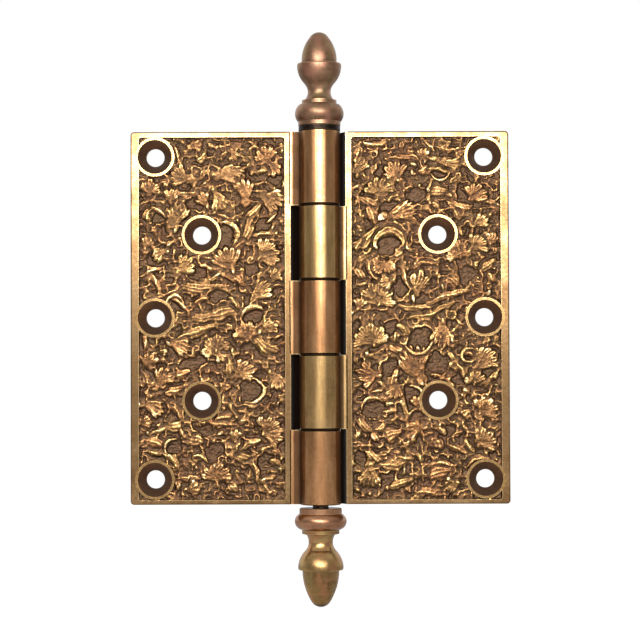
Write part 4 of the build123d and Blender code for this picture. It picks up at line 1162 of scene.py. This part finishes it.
def area_lamp(name, place, target, width, height, brightness, roll):
    """A soft box: brightness is how bright its face looks, where white is 1."""
    data = bpy.data.lights.new(name, "AREA")
    data.shape = "RECTANGLE"
    data.size = width
    data.size_y = height
    data.energy = brightness * math.pi * width * height
    aim(add_object(name, data), place, target, roll)


for lamp_values in LAMPS:
    area_lamp(*lamp_values)


def ray_kinds(g):
    """Two switches: 1 for what is seen straight or through glass, and 1 for what metal mirrors."""
    path = g.nodes.new("ShaderNodeLightPath")
    straight = g.math("MAXIMUM", path.outputs["Is Camera Ray"], path.outputs["Is Transmission Ray"])
    return straight, path.outputs["Is Glossy Ray"]


def light_room():
    """A white background. Metal sees it white behind and above, and sees a dimmer room in front.

    The ranges are of a ray's direction, from -1 to 1 along each axis.
    """
    world = bpy.data.worlds.new("studio")
    world.use_nodes = True
    bpy.context.scene.world = world
    g = Graph.on(world)
    background = g.nodes["Background"]
    split = g.nodes.new("ShaderNodeSeparateXYZ")
    g.links.new(g.nodes.new("ShaderNodeTexCoord").outputs["Generated"], split.inputs[0])
    across, depth, up = split.outputs
    behind = g.spread(depth, -0.4, 0.7, ROOM_FRONT, 1.0)
    behind = g.math("MULTIPLY", behind, g.spread(up, -0.25, 0.3, 0.5, 1.0))
    above = g.spread(up, 0.2, 0.8, ROOM_FRONT, 0.8)
    metal_sees = g.math("MAXIMUM", behind, above)
    metal_sees = g.math("ADD", metal_sees, g.spread(across, 0.45, 0.8, 0.0, 0.26))
    metal_sees = g.math("ADD", metal_sees, g.spread(across, -0.45, -0.8, 0.0, 0.16))
    straight, glossy = ray_kinds(g)
    seen = g.math("MAXIMUM", g.math("MULTIPLY", glossy, metal_sees), straight)
    neither = g.math("SUBTRACT", 1.0, g.math("MAXIMUM", straight, glossy))
    background.inputs["Color"].default_value = (1.0, 1.0, 1.0, 1.0)
    g.join(background.inputs["Strength"], g.total(seen, (neither, 0.0, ROOM_MATT)))


def floor_glow(g):
    """What the floor adds to its own light: white for the camera, a little of it for metal."""
    straight, glossy = ray_kinds(g)
    return g.total(g.math("MULTIPLY", straight, FLOOR_FOR_CAMERA), (glossy, 0.0, FLOOR_FOR_METAL))


def floor_material():
    """A plain matt floor, without gloss."""
    g = Graph("pale_floor")
    g.shader.inputs["Emission Color"].default_value = (1.0, 1.0, 1.0, 1.0)
    g.join(g.shader.inputs["Emission Strength"], floor_glow(g))
    g.shader.inputs["Specular IOR Level"].default_value = 0.0
    return g.out(g.ramp(g.noise(3.0), *zip((0.0, 1.0), FLOOR_GREYS)), 0.9, 0.0)


light_room()

floor_z = cad_box[0][2] - FLOOR_GAP
corners = ((-1, -1), (1, -1), (1, 1), (-1, 1))
floor_data = bpy.data.meshes.new("floor")
floor_points = [(sx * FLOOR_HALF, sy * FLOOR_HALF, floor_z) for sx, sy in corners]
floor_data.from_pydata(floor_points, [], [(0, 1, 2, 3)])
floor_data.materials.append(floor_material())
add_object("floor", floor_data)

camera_data = bpy.data.cameras.new("camera")
camera_data.sensor_width = SENSOR
camera_data.lens = SENSOR / 2 / math.tan(math.radians(CAMERA_FIELD / 2))
camera_data.clip_end = 50.0
camera = add_object("camera", camera_data)
aim(camera, CAMERA_PLACE, CAMERA_TARGET, CAMERA_ROLL)
bpy.context.scene.camera = camera

bpy.context.scene.view_settings.view_transform = "Standard"
